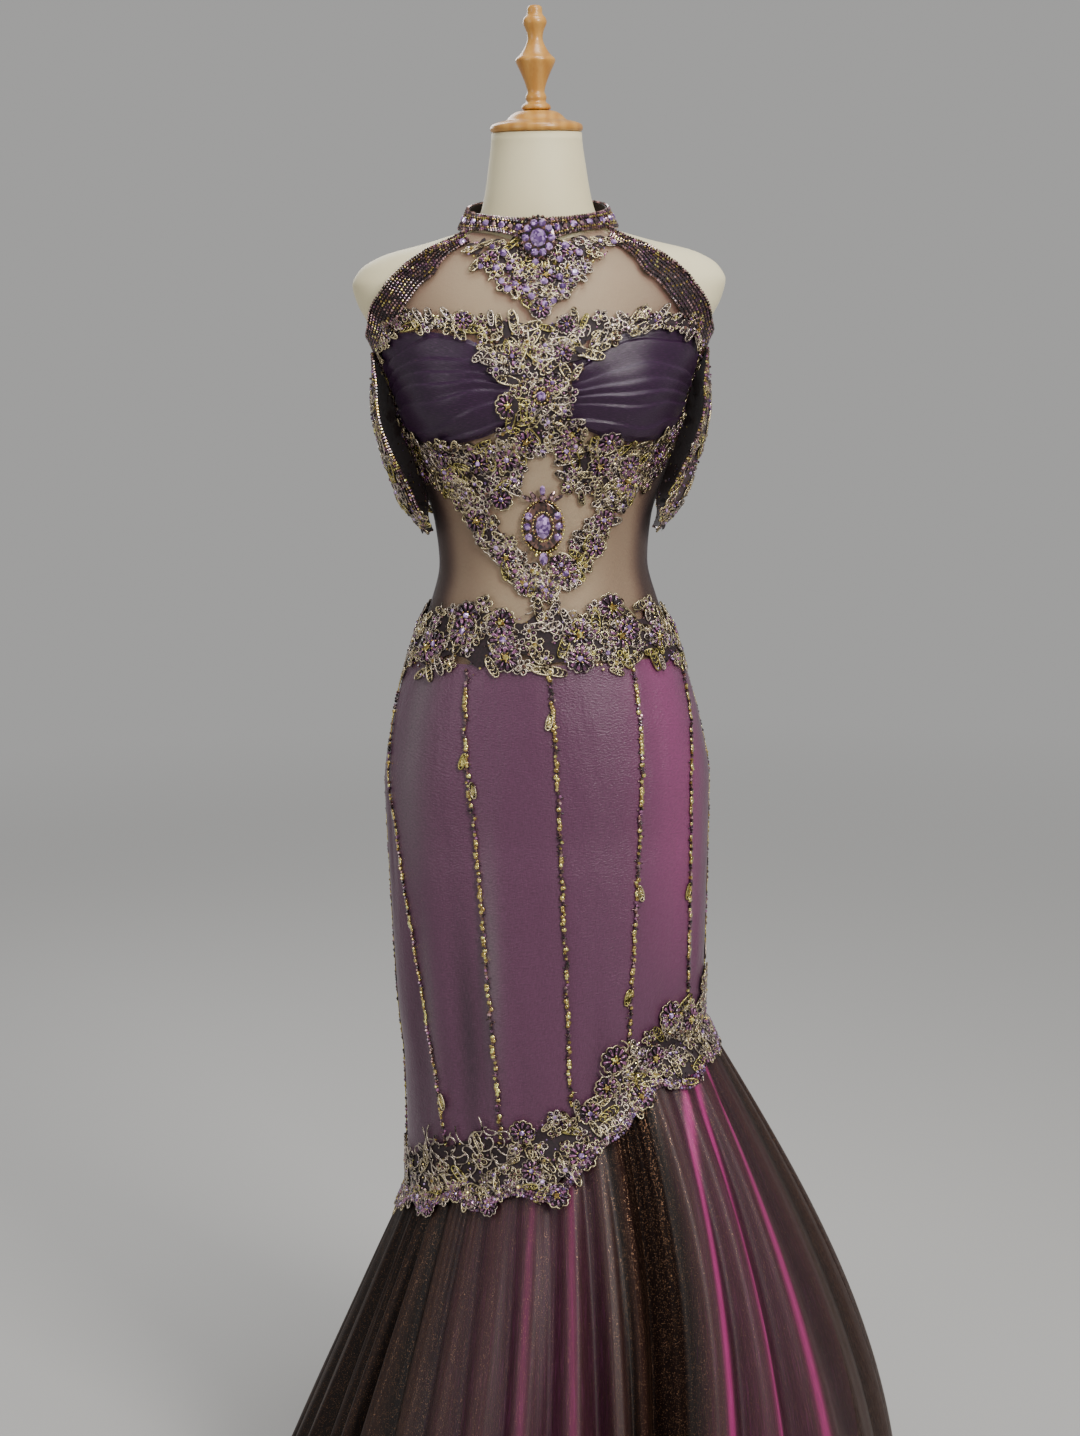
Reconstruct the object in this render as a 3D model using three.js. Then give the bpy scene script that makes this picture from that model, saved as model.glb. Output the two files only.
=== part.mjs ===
import * as THREE from 'three';

// Mermaid evening dress on a limbless dress form. Millimetres, +Z up.
// The dress faces -Y. Left is -X and right is +X, as seen from the front.
// The origin is the centre of the base's underside.
// Angles run round the body from the front, 0, by way of the right side, 90, to the back, 180.

const DEGREE = Math.PI / 180;

// Driving dimensions
const SEAM_GAP = 0.3;
// Half a seam's gap as an angle, at the skirt's usual radius
const SEAM_TRIM = SEAM_GAP / 2 / 150 / DEGREE;
const FORM_BOTTOM = 790;
const NECK_TOP = 1543;
const WAIST_SEAM = 1010;
const NET_GAP = 1.0;
const NET_THICK = 1.0;
const SATIN_THICK = 2.6;
const ORGANZA_THICK = 1.4;
const LINING_THICK = 1.2;
const LACE_THICK = 1.3;
const HEM_HEIGHT = 8;
const LINING_HEM = 14;
const FLARE_SEAM = { middle: 515, slant: 95 };
const FLARE_HEM = { left: 333, right: 368, front: 352, back: 400 };
const OVERSKIRT = { gores: 6, foldsEach: 6, foldDepth: 14, rows: 5 };
const UNDERSKIRT = { gores: 4, wavesEach: 3, columns: 8, rows: 5, waveDepth: 3, clearance: 6 };
const PARTING = { angle: 29, width: 4.5, depth: 38, liningWidth: 16, liningDepth: 50 };
const BUST = { angle: 34, height: 1278, width: 25, tall: 46, out: 20 };
const COLLAR_TOP = { height: 1468, tilt: 11, half: 69, front: 61, back: 64 };
const COLLAR_LOW = { height: 1449, tilt: 12, half: 78, front: 66, back: 70 };
const COLLAR_SEAT = 4.4;
const FORM_INSET = { z: 1350, tall: 76, depth: 3.6 };
const CUP = { inner: 11, outer: 77, pleats: 6, pleatRise: 2.8, thick: 1.4 };
const BASE = { radius: 160, edge: 12, boss: 32, height: 30 };
const POLE_RADIUS = 15;

// The dress form, section by section
const FORM_SECTIONS = [
  { z: 790, half: 159, front: 100, back: 112 },
  { z: 830, half: 166, front: 106, back: 119 },
  { z: 871, half: 168, front: 108, back: 121 },
  { z: 936, half: 158, front: 104, back: 116 },
  { z: 979, half: 147, front: 99, back: 108 },
  { z: 1022, half: 134, front: 94, back: 97 },
  { z: 1064, half: 117, front: 88, back: 84 },
  { z: 1107, half: 107, front: 85, back: 76 },
  { z: 1150, half: 111, front: 87, back: 78 },
  { z: 1200, half: 127, front: 92, back: 85 },
  { z: 1240, half: 139, front: 97, back: 91 },
  { z: 1275, half: 148, front: 101, back: 95 },
  { z: 1315, half: 162, front: 101, back: 97 },
  { z: 1350, half: 177, front: 96, back: 95 },
  { z: 1375, half: 190, front: 87, back: 90 },
  { z: 1393, half: 194, front: 78, back: 84 },
  { z: 1408, half: 186, front: 70, back: 76 },
  { z: 1422, half: 163, front: 65, back: 70 },
  { z: 1437, half: 107, front: 61, back: 66 },
  { z: 1452, half: 66, front: 58, back: 62 },
  { z: 1474, half: 56, front: 55, back: 57 },
  { z: 1508, half: 50, front: 49, back: 51 },
  { z: 1543, half: 46, front: 45, back: 46 },
];

// The satin skirt from the hips to the flare
const SKIRT_SECTIONS = [
  { z: 380, half: 157, front: 122, back: 131 },
  { z: 513, half: 156, front: 122, back: 131 },
  { z: 570, half: 157, front: 122, back: 131 },
  { z: 627, half: 162, front: 121, back: 131 },
  { z: 695, half: 165, front: 119, back: 130 },
  { z: 783, half: 168, front: 116, back: 128 },
  { z: 830, half: 169.5, front: 112, back: 125 },
  { z: 871, half: 170.5, front: 111, back: 124 },
  { z: 936, half: 161, front: 107, back: 119 },
  { z: 979, half: 150, front: 102, back: 111 },
  { z: 1022, half: 137, front: 97, back: 100 },
];

// Seams between the hip panels, in degrees, at the waist seam, the hips and the flare
const PANEL_SEAMS = [
  { top: -90, hip: -68, low: -44 },
  { top: -34, hip: -26, low: -20 },
  { top: 2, hip: 4, low: 7 },
  { top: 39, hip: 34, low: 29 },
  { top: 77, hip: 60, low: 62 },
  { top: 102, hip: 96, low: 92 },
  { top: 126, hip: 124, low: 122 },
  { top: 153, hip: 152, low: 151 },
  { top: 180, hip: 180, low: 180 },
  { top: 207, hip: 208, low: 209 },
  { top: 234, hip: 236, low: 238 },
  { top: 258, hip: 264, low: 268 },
];
const PANEL_COLUMN_WIDTH = 11;
const PANEL_ROWS = 8;
const HIP_SHARE = 0.68;

// Soft troughs pressed into the satin, in degrees and millimetres
const SKIRT_TROUGHS = [
  { angle: -34, width: 8, z: 600, tall: 120, depth: 6 },
  { angle: -58, width: 8, z: 640, tall: 110, depth: 4 },
  { angle: 48, width: 9, z: 640, tall: 110, depth: 4 },
  { angle: 137, width: 9, z: 620, tall: 110, depth: 5 },
  { angle: 222, width: 9, z: 560, tall: 110, depth: 5 },
];

// Half the angle that the front net spans, by height: it narrows above the armholes
const NET_EDGE = [
  { z: 1010, edge: 90 },
  { z: 1330, edge: 90 },
  { z: 1350, edge: 74 },
  { z: 1375, edge: 60 },
  { z: 1393, edge: 51 },
  { z: 1408, edge: 47 },
  { z: 1422, edge: 45 },
  { z: 1434, edge: 49 },
];

// The halter band's outer and inner edges, from the collar to the centre back
const HALTER_BAND = [
  { outer: 50, outerZ: 1435, inner: 33, innerZ: 1420 },
  { outer: 46, outerZ: 1422, inner: 33, innerZ: 1405 },
  { outer: 48, outerZ: 1408, inner: 38, innerZ: 1391 },
  { outer: 52, outerZ: 1393, inner: 44, innerZ: 1375 },
  { outer: 61, outerZ: 1375, inner: 53.5, innerZ: 1355 },
  { outer: 75, outerZ: 1352, inner: 68, innerZ: 1330 },
  { outer: 96, outerZ: 1338, inner: 93, innerZ: 1314 },
  { outer: 118, outerZ: 1326, inner: 117, innerZ: 1302 },
  { outer: 140, outerZ: 1316, inner: 140, innerZ: 1292 },
  { outer: 160, outerZ: 1309, inner: 160, innerZ: 1285 },
  { outer: 179.7, outerZ: 1306, inner: 179.7, innerZ: 1282 },
];

// The cups' upper and lower edges, from the inner gather to the side
const CUP_EDGES = [
  { along: 0, low: 1272, high: 1292 },
  { along: 0.2, low: 1250, high: 1314 },
  { along: 0.45, low: 1238, high: 1327 },
  { along: 0.7, low: 1240, high: 1320 },
  { along: 0.88, low: 1250, high: 1304 },
  { along: 1, low: 1264, high: 1290 },
];

// The drop sleeves: a leaf of net that stands off the side of the body
const SLEEVE_ROWS = [
  { z: 1139, front: 84, back: 104, off: 9 },
  { z: 1160, front: 62, back: 116, off: 24 },
  { z: 1190, front: 60, back: 126, off: 30 },
  { z: 1225, front: 64, back: 132, off: 30 },
  { z: 1262, front: 67, back: 130, off: 29 },
  { z: 1296, front: 70, back: 122, off: 20 },
  { z: 1328, front: 77, back: 108, off: 7.2 },
];

// The slanting lace over the flare's seam: the middle of the band and half its width
const HEM_LACE = [
  { angle: -90, middle: 434, half: 37 },
  { angle: -45, middle: 470, half: 46 },
  { angle: 0, middle: 500, half: 43 },
  { angle: 36, middle: 584, half: 42 },
  { angle: 67, middle: 606, half: 48 },
  { angle: 90, middle: 624, half: 40 },
  { angle: 135, middle: 590, half: 38 },
  { angle: 180, middle: 520, half: 38 },
  { angle: 225, middle: 452, half: 38 },
  { angle: 270, middle: 434, half: 37 },
];

// Outlines of the appliques on the net: the middle, in degrees and millimetres, and half the width
const BUST_TOP_LACE = [
  { angle: -65, z: 1321, half: 7 },
  { angle: -53, z: 1338, half: 10 },
  { angle: -30, z: 1350, half: 14 },
  { angle: 0, z: 1350, half: 15 },
  { angle: 30, z: 1350, half: 14 },
  { angle: 53, z: 1338, half: 10 },
  { angle: 65, z: 1321, half: 7 },
];
const BUST_CENTRE_LACE = [
  { angle: 0, z: 1238, half: 13 },
  { angle: 0, z: 1262, half: 10 },
  { angle: 0, z: 1288, half: 12 },
  { angle: 0, z: 1312, half: 20 },
  { angle: 0, z: 1333, half: 28 },
];
const UNDERBUST_LACE = [
  { angle: 2, z: 1214, half: 20 },
  { angle: 25, z: 1210, half: 22 },
  { angle: 50, z: 1213, half: 22 },
  { angle: 70, z: 1226, half: 13 },
  { angle: 80, z: 1244, half: 8 },
];
const MIDRIFF_LACE = [
  { angle: 0, z: 1081, half: 12 },
  { angle: 0, z: 1104, half: 34 },
  { angle: 0, z: 1130, half: 52 },
  { angle: 0, z: 1158, half: 68 },
  { angle: 0, z: 1185, half: 78 },
];
const BIB_LACE = [
  { angle: 0, z: 1366, half: 9 },
  { angle: 0, z: 1382, half: 24 },
  { angle: 0, z: 1398, half: 40 },
  { angle: 0, z: 1413, half: 54 },
  { angle: 0, z: 1427, half: 66 },
];

// Colours
const material = (color, roughness, metalness = 0) =>
  new THREE.MeshStandardMaterial({ color, roughness, metalness });
const IVORY = material(0xcdc5a8, 0.55);
const BEECH = material(0xd7af73, 0.45);
const STEEL = material(0xb8b8bc, 0.35, 0.8);
const TAUPE_NET = material(0x6b5448, 0.8);
const PLUM_SATIN = material(0x64416a, 0.35);
const DARK_SATIN = material(0x3e2648, 0.4);
const MAGENTA_SATIN = material(0x8a3070, 0.35);
const BROWN_ORGANZA = material(0x55413a, 0.6);
const GOLD_LACE = material(0xbeaa78, 0.4, 0.3);
const BEADS = material(0x6a4a58, 0.35, 0.3);
const STONES = material(0x8264c8, 0.15);

const dress = new THREE.Group();

// A smooth curve through one column of a table, with no overshoot between rows
function curve(table, key, name) {
  const slopes = table.map((row, i) => {
    if (i === 0 || i === table.length - 1) return 0;
    const before = (row[name] - table[i - 1][name]) / (row[key] - table[i - 1][key]);
    const after = (table[i + 1][name] - row[name]) / (table[i + 1][key] - row[key]);
    return before * after > 0 ? (2 * before * after) / (before + after) : 0;
  });
  return (at) => {
    const last = table.length - 1;
    const x = Math.min(Math.max(at, table[0][key]), table[last][key]);
    let i = 0;
    while (i < last - 1 && x > table[i + 1][key]) i++;
    const span = table[i + 1][key] - table[i][key];
    const s = (x - table[i][key]) / span;
    const a = table[i][name];
    const b = table[i + 1][name];
    const rise = b - a;
    const start = slopes[i] * span;
    const end = slopes[i + 1] * span;
    return a + s * (start + s * (3 * rise - 2 * start - end + s * (start + end - 2 * rise)));
  };
}

const mix = (a, b, share) => a + (b - a) * share;
const bell = (distance, width) => Math.exp(-((distance / width) ** 2));
// The shortest way round from one angle to another, in degrees
const turn = (from, to) => ((((to - from + 180) % 360) + 360) % 360) - 180;

const outward = (angle, length) =>
  new THREE.Vector3(length * Math.sin(angle * DEGREE), -length * Math.cos(angle * DEGREE), 0);

function ellipsePoint(angle, z, half, front, back, out = 0) {
  const side = Math.sin(angle * DEGREE);
  const ahead = Math.cos(angle * DEGREE);
  const depth = ahead > 0 ? front : back;
  return new THREE.Vector3((half + out) * side, -(depth + out) * ahead, z);
}

const formHalf = curve(FORM_SECTIONS, 'z', 'half');
const formFront = curve(FORM_SECTIONS, 'z', 'front');
const formBack = curve(FORM_SECTIONS, 'z', 'back');

function bodyPoint(angle, z) {
  const tall = bell(z - BUST.height, BUST.tall);
  const round = bell(turn(BUST.angle, angle), BUST.width) + bell(turn(-BUST.angle, angle), BUST.width);
  return ellipsePoint(angle, z, formHalf(z), formFront(z), formBack(z), BUST.out * tall * round);
}

const skirtHalf = curve(SKIRT_SECTIONS, 'z', 'half');
const skirtFront = curve(SKIRT_SECTIONS, 'z', 'front');
const skirtBack = curve(SKIRT_SECTIONS, 'z', 'back');

function skirtPoint(angle, z) {
  const pressed = SKIRT_TROUGHS.map(
    ({ angle: at, width, z: middle, tall, depth }) =>
      depth * bell(turn(at, angle), width) * bell(z - middle, tall),
  ).reduce((sum, depth) => sum + depth, 0);
  return ellipsePoint(angle, z, skirtHalf(z), skirtFront(z), skirtBack(z), -pressed);
}

// A point lifted off a surface along its outward normal
function lift(surface, angle, z, height) {
  const step = 0.5;
  const across = surface(angle + step, z).sub(surface(angle - step, z));
  const up = surface(angle, z + step).sub(surface(angle, z - step));
  return surface(angle, z).addScaledVector(across.cross(up).normalize(), height);
}

// Where the panels' lower edge runs: straight between the columns of the hip panels
const PANELS = PANEL_SEAMS.map((start, i) => {
  const last = i + 1 === PANEL_SEAMS.length;
  const next = PANEL_SEAMS[(i + 1) % PANEL_SEAMS.length];
  const round = last ? 360 : 0;
  const end = { top: next.top + round, hip: next.hip + round, low: next.low + round };
  const widest = Math.max(end.top - start.top, end.low - start.low);
  return { start, end, columns: Math.round(widest / PANEL_COLUMN_WIDTH) };
});
const LOW_ANGLES = PANELS.flatMap(({ start, end, columns }) =>
  Array.from({ length: columns }, (_, c) => mix(start.low, end.low, c / columns)),
);
LOW_ANGLES.push(LOW_ANGLES[0] + 360);

const slantAt = (angle) => FLARE_SEAM.middle + FLARE_SEAM.slant * Math.sin(angle * DEGREE);

function seamHeight(angle) {
  const first = LOW_ANGLES[0];
  const at = first + ((((angle - first) % 360) + 360) % 360);
  let i = 0;
  while (i < LOW_ANGLES.length - 2 && at > LOW_ANGLES[i + 1]) i++;
  const share = (at - LOW_ANGLES[i]) / (LOW_ANGLES[i + 1] - LOW_ANGLES[i]);
  return mix(slantAt(LOW_ANGLES[i]), slantAt(LOW_ANGLES[i + 1]), share);
}

// The flare without its folds. fall runs from 0 at the seam to 1 at the hem.
function flarePoint(angle, fall, parting = PARTING, hem = HEM_HEIGHT) {
  const top = seamHeight(angle);
  const start = skirtPoint(angle, top);
  const side = Math.sin(angle * DEGREE);
  const width = side > 0 ? FLARE_HEM.right : FLARE_HEM.left;
  const end = ellipsePoint(angle, hem, width, FLARE_HEM.front, FLARE_HEM.back);
  const bulge = (1 + side) / 2;
  const spread = mix(fall, Math.sin((fall * Math.PI) / 2), bulge);
  const parted = parting.depth * bell(turn(parting.angle, angle), parting.width) * fall ** 0.7;
  const point = start.lerp(end, spread);
  point.z = mix(top, hem, fall);
  return point.add(outward(angle, -parted));
}

const FOLDS = OVERSKIRT.gores * OVERSKIRT.foldsEach;
// The folds are unevenly spaced: this moves each one along the hem
const foldAngle = (even) =>
  even + 2.2 * Math.sin((5 * even + 60) * DEGREE) + 1.1 * Math.sin((9 * even + 20) * DEGREE);
const foldDepth = (angle, fall) =>
  OVERSKIRT.foldDepth *
  fall ** 0.8 *
  (1 + 0.25 * Math.sin((4 * angle + 40) * DEGREE) + 0.2 * Math.sin((7 * angle + 110) * DEGREE));

function overskirtPoint(even, fall, height) {
  const angle = foldAngle(even);
  const fold = foldDepth(angle, fall) * Math.sin(FOLDS * even * DEGREE);
  return flarePoint(angle, fall).add(outward(angle, fold + height));
}

function underskirtPoint(angle, fall, height) {
  const waves = UNDERSKIRT.gores * UNDERSKIRT.wavesEach;
  const wave = UNDERSKIRT.waveDepth * fall * Math.sin(waves * angle * DEGREE);
  const inset = foldDepth(angle, fall) + UNDERSKIRT.clearance * fall + UNDERSKIRT.waveDepth * fall;
  const broad = { angle: PARTING.angle, width: PARTING.liningWidth, depth: PARTING.liningDepth };
  return flarePoint(angle, fall, broad, LINING_HEM).add(outward(angle, height - inset - wave));
}

// One closed wall of cloth over a grid of columns and rows.
// place(u, v, height) gives a point, inner and outer its two heights, and hole(i, j) the cells cut out.
function clothWall(name, finish, { columns, rows, place, inner, outer, hole = () => false }) {
  const positions = [];
  const faces = [];
  const known = new Map();
  const value = (height, u, v, i, j) => (typeof height === 'function' ? height(u, v, i, j) : height);
  const corner = (i, j, isOuter) => {
    const key = `${i},${j},${isOuter}`;
    if (!known.has(key)) {
      const u = i / columns;
      const v = j / rows;
      const point = place(u, v, value(isOuter ? outer : inner, u, v, i, j));
      known.set(key, positions.length / 3);
      positions.push(point.x, point.y, point.z);
    }
    return known.get(key);
  };
  const isCloth = (i, j) => i >= 0 && j >= 0 && i < columns && j < rows && !hole(i, j);
  const quad = (a, b, c, d) => faces.push(a, b, c, a, c, d);
  for (let i = 0; i < columns; i++) {
    for (let j = 0; j < rows; j++) {
      if (!isCloth(i, j)) continue;
      const round = [[i, j], [i + 1, j], [i + 1, j + 1], [i, j + 1]];
      const outside = round.map(([a, b]) => corner(a, b, true));
      const inside = round.map(([a, b]) => corner(a, b, false));
      const beyond = [[i, j - 1], [i + 1, j], [i, j + 1], [i - 1, j]];
      quad(...outside);
      quad(inside[0], inside[3], inside[2], inside[1]);
      beyond.forEach(([a, b], k) => {
        const next = (k + 1) % 4;
        if (!isCloth(a, b)) quad(outside[next], outside[k], inside[k], inside[next]);
      });
    }
  }
  addSolid(name, finish, positions, faces);
}

// Adds a closed solid with its faces turned outward
function addSolid(name, finish, positions, faces) {
  let volume = 0;
  const at = (k) => new THREE.Vector3().fromArray(positions, 3 * k);
  for (let k = 0; k < faces.length; k += 3) {
    volume += at(faces[k]).dot(at(faces[k + 1]).cross(at(faces[k + 2])));
  }
  if (volume < 0) {
    for (let k = 0; k < faces.length; k += 3) [faces[k], faces[k + 1]] = [faces[k + 1], faces[k]];
  }
  const geometry = new THREE.BufferGeometry();
  geometry.setAttribute('position', new THREE.Float32BufferAttribute(positions, 3));
  geometry.setIndex(faces);
  geometry.computeVertexNormals();
  addMesh(name, geometry, finish);
}

function addMesh(name, geometry, finish) {
  const mesh = new THREE.Mesh(geometry, finish);
  mesh.name = name;
  dress.add(mesh);
  return mesh;
}

// A turned piece about the vertical axis, from its radii and heights
function turned(name, finish, profile, segments) {
  const points = profile.map(([radius, z]) => new THREE.Vector2(radius, z));
  const geometry = new THREE.LatheGeometry(points, segments);
  geometry.rotateX(Math.PI / 2);
  addMesh(name, geometry, finish);
}

// The dress form, from its underside to the top of the neck
function makeForm() {
  const columns = 36;
  const rows = FORM_SECTIONS.length;
  const positions = [];
  const faces = [];
  FORM_SECTIONS.forEach(({ z }) => {
    for (let i = 0; i < columns; i++) {
      const inset = FORM_INSET.depth * bell(z - FORM_INSET.z, FORM_INSET.tall);
      const point = bodyPoint((i * 360) / columns, z);
      point.add(outward((i * 360) / columns, -inset));
      positions.push(point.x, point.y, point.z);
    }
  });
  for (let j = 0; j < rows - 1; j++) {
    for (let i = 0; i < columns; i++) {
      const a = j * columns + i;
      const b = j * columns + ((i + 1) % columns);
      faces.push(a, b, b + columns, a, b + columns, a + columns);
    }
  }
  const bottom = positions.length / 3;
  positions.push(0, 0, FORM_BOTTOM, 0, 0, NECK_TOP);
  for (let i = 0; i < columns; i++) {
    const next = (i + 1) % columns;
    const top = (rows - 1) * columns;
    faces.push(bottom, next, i, bottom + 1, top + i, top + next);
  }
  addSolid('form_torso', IVORY, positions, faces);
}

// The turned beech cap that closes the neck, and the finial on it
function makeFinial() {
  const foot = NECK_TOP + SEAM_GAP;
  const cap = [
    [0, foot], [45, foot], [47.5, foot + 3], [46, foot + 8], [38.5, foot + 11],
    [30, foot + 13], [25.7, foot + 18], [18, foot + 22], [0, foot + 22],
  ];
  turned('neck_cap', BEECH, cap, 20);
  const start = foot + 22 + SEAM_GAP;
  const finial = [
    [0, start], [15.5, start], [14.5, start + 5], [9.5, start + 9], [10.8, start + 13], [8.5, start + 18],
    [13, start + 30], [20.3, start + 49], [14, start + 54], [7.5, start + 71], [9, start + 79],
    [12.5, start + 86], [8, start + 94], [7.5, start + 101], [0, start + 103.4],
  ];
  turned('finial', BEECH, finial, 16);
}

// The stand under the skirt
function makeStand() {
  const base = [
    [0, 0], [BASE.radius - 4, 0], [BASE.radius, 4], [BASE.radius - 3, BASE.edge],
    [BASE.boss, BASE.edge + 6], [BASE.boss - 6, BASE.height], [0, BASE.height],
  ];
  turned('stand_base', STEEL, base, 24);
  const low = BASE.height + SEAM_GAP;
  const high = FORM_BOTTOM - SEAM_GAP;
  turned('stand_pole', STEEL, [[0, low], [POLE_RADIUS, low], [POLE_RADIUS, high], [0, high]], 16);
}

// Net bodice: one front, and two backs that meet at the centre back
const NET_ROWS = [
  WAIST_SEAM + SEAM_GAP, 1064, 1107, 1150, 1200, 1240, 1275, 1315, 1350, 1375, 1393, 1408, 1422,
];
const BACK_ROWS = [WAIST_SEAM + SEAM_GAP, 1064, 1107, 1150, 1200, 1240, 1275];

function makeBodice() {
  const edgeAt = curve(NET_EDGE, 'z', 'edge');
  const spread = 18;
  clothWall('bodice_front', TAUPE_NET, {
    columns: spread,
    rows: NET_ROWS.length,
    inner: NET_GAP,
    outer: NET_GAP + NET_THICK,
    place: (u, v, height) => {
      const row = Math.round(v * NET_ROWS.length);
      const atTop = row === NET_ROWS.length;
      const span = edgeAt(atTop ? 1434 : NET_ROWS[row]) - SEAM_GAP / 3;
      const angle = (2 * u - 1) * span;
      const z = atTop ? collarLow(angle) - 2.5 : NET_ROWS[row];
      return lift(bodyPoint, angle, z, height);
    },
  });
  [-1, 1].forEach((side) => {
    clothWall(side < 0 ? 'bodice_back_left' : 'bodice_back_right', TAUPE_NET, {
      columns: 9,
      rows: BACK_ROWS.length,
      inner: NET_GAP,
      outer: NET_GAP + NET_THICK,
      place: (u, v, height) => {
        const row = Math.round(v * BACK_ROWS.length);
        const angle = side * mix(90 + SEAM_GAP / 3, 180 - SEAM_GAP / 3, u);
        const top = mix(1334, 1300, Math.sin((u * Math.PI) / 2));
        return lift(bodyPoint, angle, row === BACK_ROWS.length ? top : BACK_ROWS[row], height);
      },
    });
  });
}

// Stand-up collar, tilted forward, its beads raised in ribs
const collarTop = (angle) => COLLAR_TOP.height - COLLAR_TOP.tilt * Math.cos(angle * DEGREE);

// The collar's lower edge rests on the shoulders, so it is lifted where they would meet it
function collarLow(angle) {
  const { height, tilt, half, front, back } = COLLAR_LOW;
  const edge = ellipsePoint(angle, 0, half, front, back);
  let z = height - tilt * Math.cos(angle * DEGREE);
  const inForm = () => {
    const depth = edge.y < 0 ? formFront(z) : formBack(z);
    return Math.hypot(edge.x / (formHalf(z) + COLLAR_SEAT), edge.y / (depth + COLLAR_SEAT)) < 1;
  };
  while (inForm()) z += 0.5;
  return z;
}

function collarPoint(angle, share, height) {
  const z = mix(collarLow(angle), collarTop(angle), share);
  const [half, front, back] = ['half', 'front', 'back'].map((name) =>
    mix(COLLAR_LOW[name], COLLAR_TOP[name], share),
  );
  return ellipsePoint(angle, z, half, front, back, height);
}

function makeCollar() {
  const ribs = [3, 2.2, 3.2, 2.2, 3];
  clothWall('collar', BEADS, {
    columns: 28,
    rows: 4,
    inner: 0,
    outer: (u, v, i, j) => ribs[j],
    place: (u, v, height) => collarPoint(mix(-179.7, 179.7, u), v, height),
  });
  const buttons = [
    { name: 'collar_button_upper', share: 0.74 },
    { name: 'collar_button_lower', share: 0.26 },
  ];
  buttons.forEach((button) => {
    const shape = [[0, 0], [4.2, 0], [4.6, 1.6], [3, 3.4], [0, 4]].map(([r, z]) => new THREE.Vector2(r, z));
    const mesh = addMesh(button.name, new THREE.LatheGeometry(shape, 8), STONES);
    const seat = collarPoint(180, button.share, 3.2 + 1.2);
    mesh.position.copy(seat);
  });
}

// Beaded halter bands
function makeHalter() {
  const rows = HALTER_BAND.map((row, i) => ({ ...row, along: i }));
  const last = rows.length - 1;
  const [outer, outerZ, inner, innerZ] = ['outer', 'outerZ', 'inner', 'innerZ'].map((name) =>
    curve(rows, 'along', name),
  );
  [{ name: 'halter_left', side: -1 }, { name: 'halter_right', side: 1 }].forEach(({ name, side }) => {
    clothWall(name, BEADS, {
      columns: 20,
      rows: 2,
      inner: (u) => NET_GAP + NET_THICK + (u < 0.5 ? 1 : 1.8),
      outer: (u, v) => NET_GAP + NET_THICK + (u < 0.5 ? 2.4 : 3.6) + (v === 0.5 ? 1.2 : 0),
      place: (u, v, height) => {
        const along = u * last;
        const angle = side * mix(inner(along), outer(along), v);
        return lift(bodyPoint, angle, mix(innerZ(along), outerZ(along), v), height);
      },
    });
  });
}

// Cups of satin laid in pleats that meet at the inner gather
function makeCups() {
  const low = curve(CUP_EDGES, 'along', 'low');
  const high = curve(CUP_EDGES, 'along', 'high');
  const base = NET_GAP + NET_THICK + 1.1;
  [{ name: 'cup_left', side: -1 }, { name: 'cup_right', side: 1 }].forEach(({ name, side }) => {
    clothWall(name, DARK_SATIN, {
      columns: 8,
      rows: 2 * CUP.pleats,
      inner: base,
      outer: (u, v, i, j) => base + CUP.thick + (j % 2 === 1 ? CUP.pleatRise : 0),
      place: (u, v, height) => {
        const angle = side * mix(CUP.inner, CUP.outer, u);
        return lift(bodyPoint, angle, mix(low(u), high(u), v), height);
      },
    });
  });
}

// Drop sleeves: leaves of net with a raised bead edge
function makeSleeves() {
  const rows = SLEEVE_ROWS.map((row, i) => ({ ...row, along: i }));
  const [z, front, back, off] = ['z', 'front', 'back', 'off'].map((name) => curve(rows, 'along', name));
  const last = rows.length - 1;
  [{ name: 'sleeve_left', side: -1 }, { name: 'sleeve_right', side: 1 }].forEach(({ name, side }) => {
    clothWall(name, TAUPE_NET, {
      columns: 6,
      rows: last,
      inner: 0,
      outer: (u) => (u === 0 || u === 1 ? 3 : 1.4),
      place: (u, v, height) => {
        const along = v * last;
        const angle = side * mix(front(along), back(along), u);
        return lift(bodyPoint, angle, z(along), off(along) + height);
      },
    });
  });
}

// Lace of repeated flowers: narrow between them, raised at their hearts, with gaps cut through
const MOTIF = { columns: 4, lines: [0, 0.2, 0.5, 0.8], valley: 0.74, rise: 3.2, rows: 4 };

function motifPhase(i) {
  return MOTIF.lines[i % MOTIF.columns];
}

const isLaceGap = (i, j) =>
  (i % MOTIF.columns === 0 && j === 1 && i > 0) || (i % MOTIF.columns === 2 && j === 2);

function laceRise(i, v) {
  const flower = Math.sin(Math.PI * motifPhase(i)) ** 2;
  const across = Math.sin(Math.PI * v);
  return LACE_THICK + MOTIF.rise * flower * across;
}

// A lace band round the body between two angles; band(angle) gives its middle and half its width
function laceBand(name, { from, to, motifs, band, surface, height }) {
  const columns = motifs * MOTIF.columns;
  const angleAt = (i) => mix(from, to, (Math.floor(i / MOTIF.columns) + motifPhase(i)) / motifs);
  clothWall(name, GOLD_LACE, {
    columns,
    rows: MOTIF.rows,
    hole: isLaceGap,
    inner: 0,
    outer: (u, v, i) => laceRise(i, v),
    place: (u, v, rise) => {
      const i = Math.round(u * columns);
      const angle = i === columns ? to : angleAt(i);
      const { middle, half } = band(angle);
      const reach = half * mix(MOTIF.valley, 1, Math.sin(Math.PI * motifPhase(i)));
      const z = middle + (2 * v - 1) * reach;
      return lift(surface, angle, z, height(angle, z) + rise);
    },
  });
}

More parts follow.
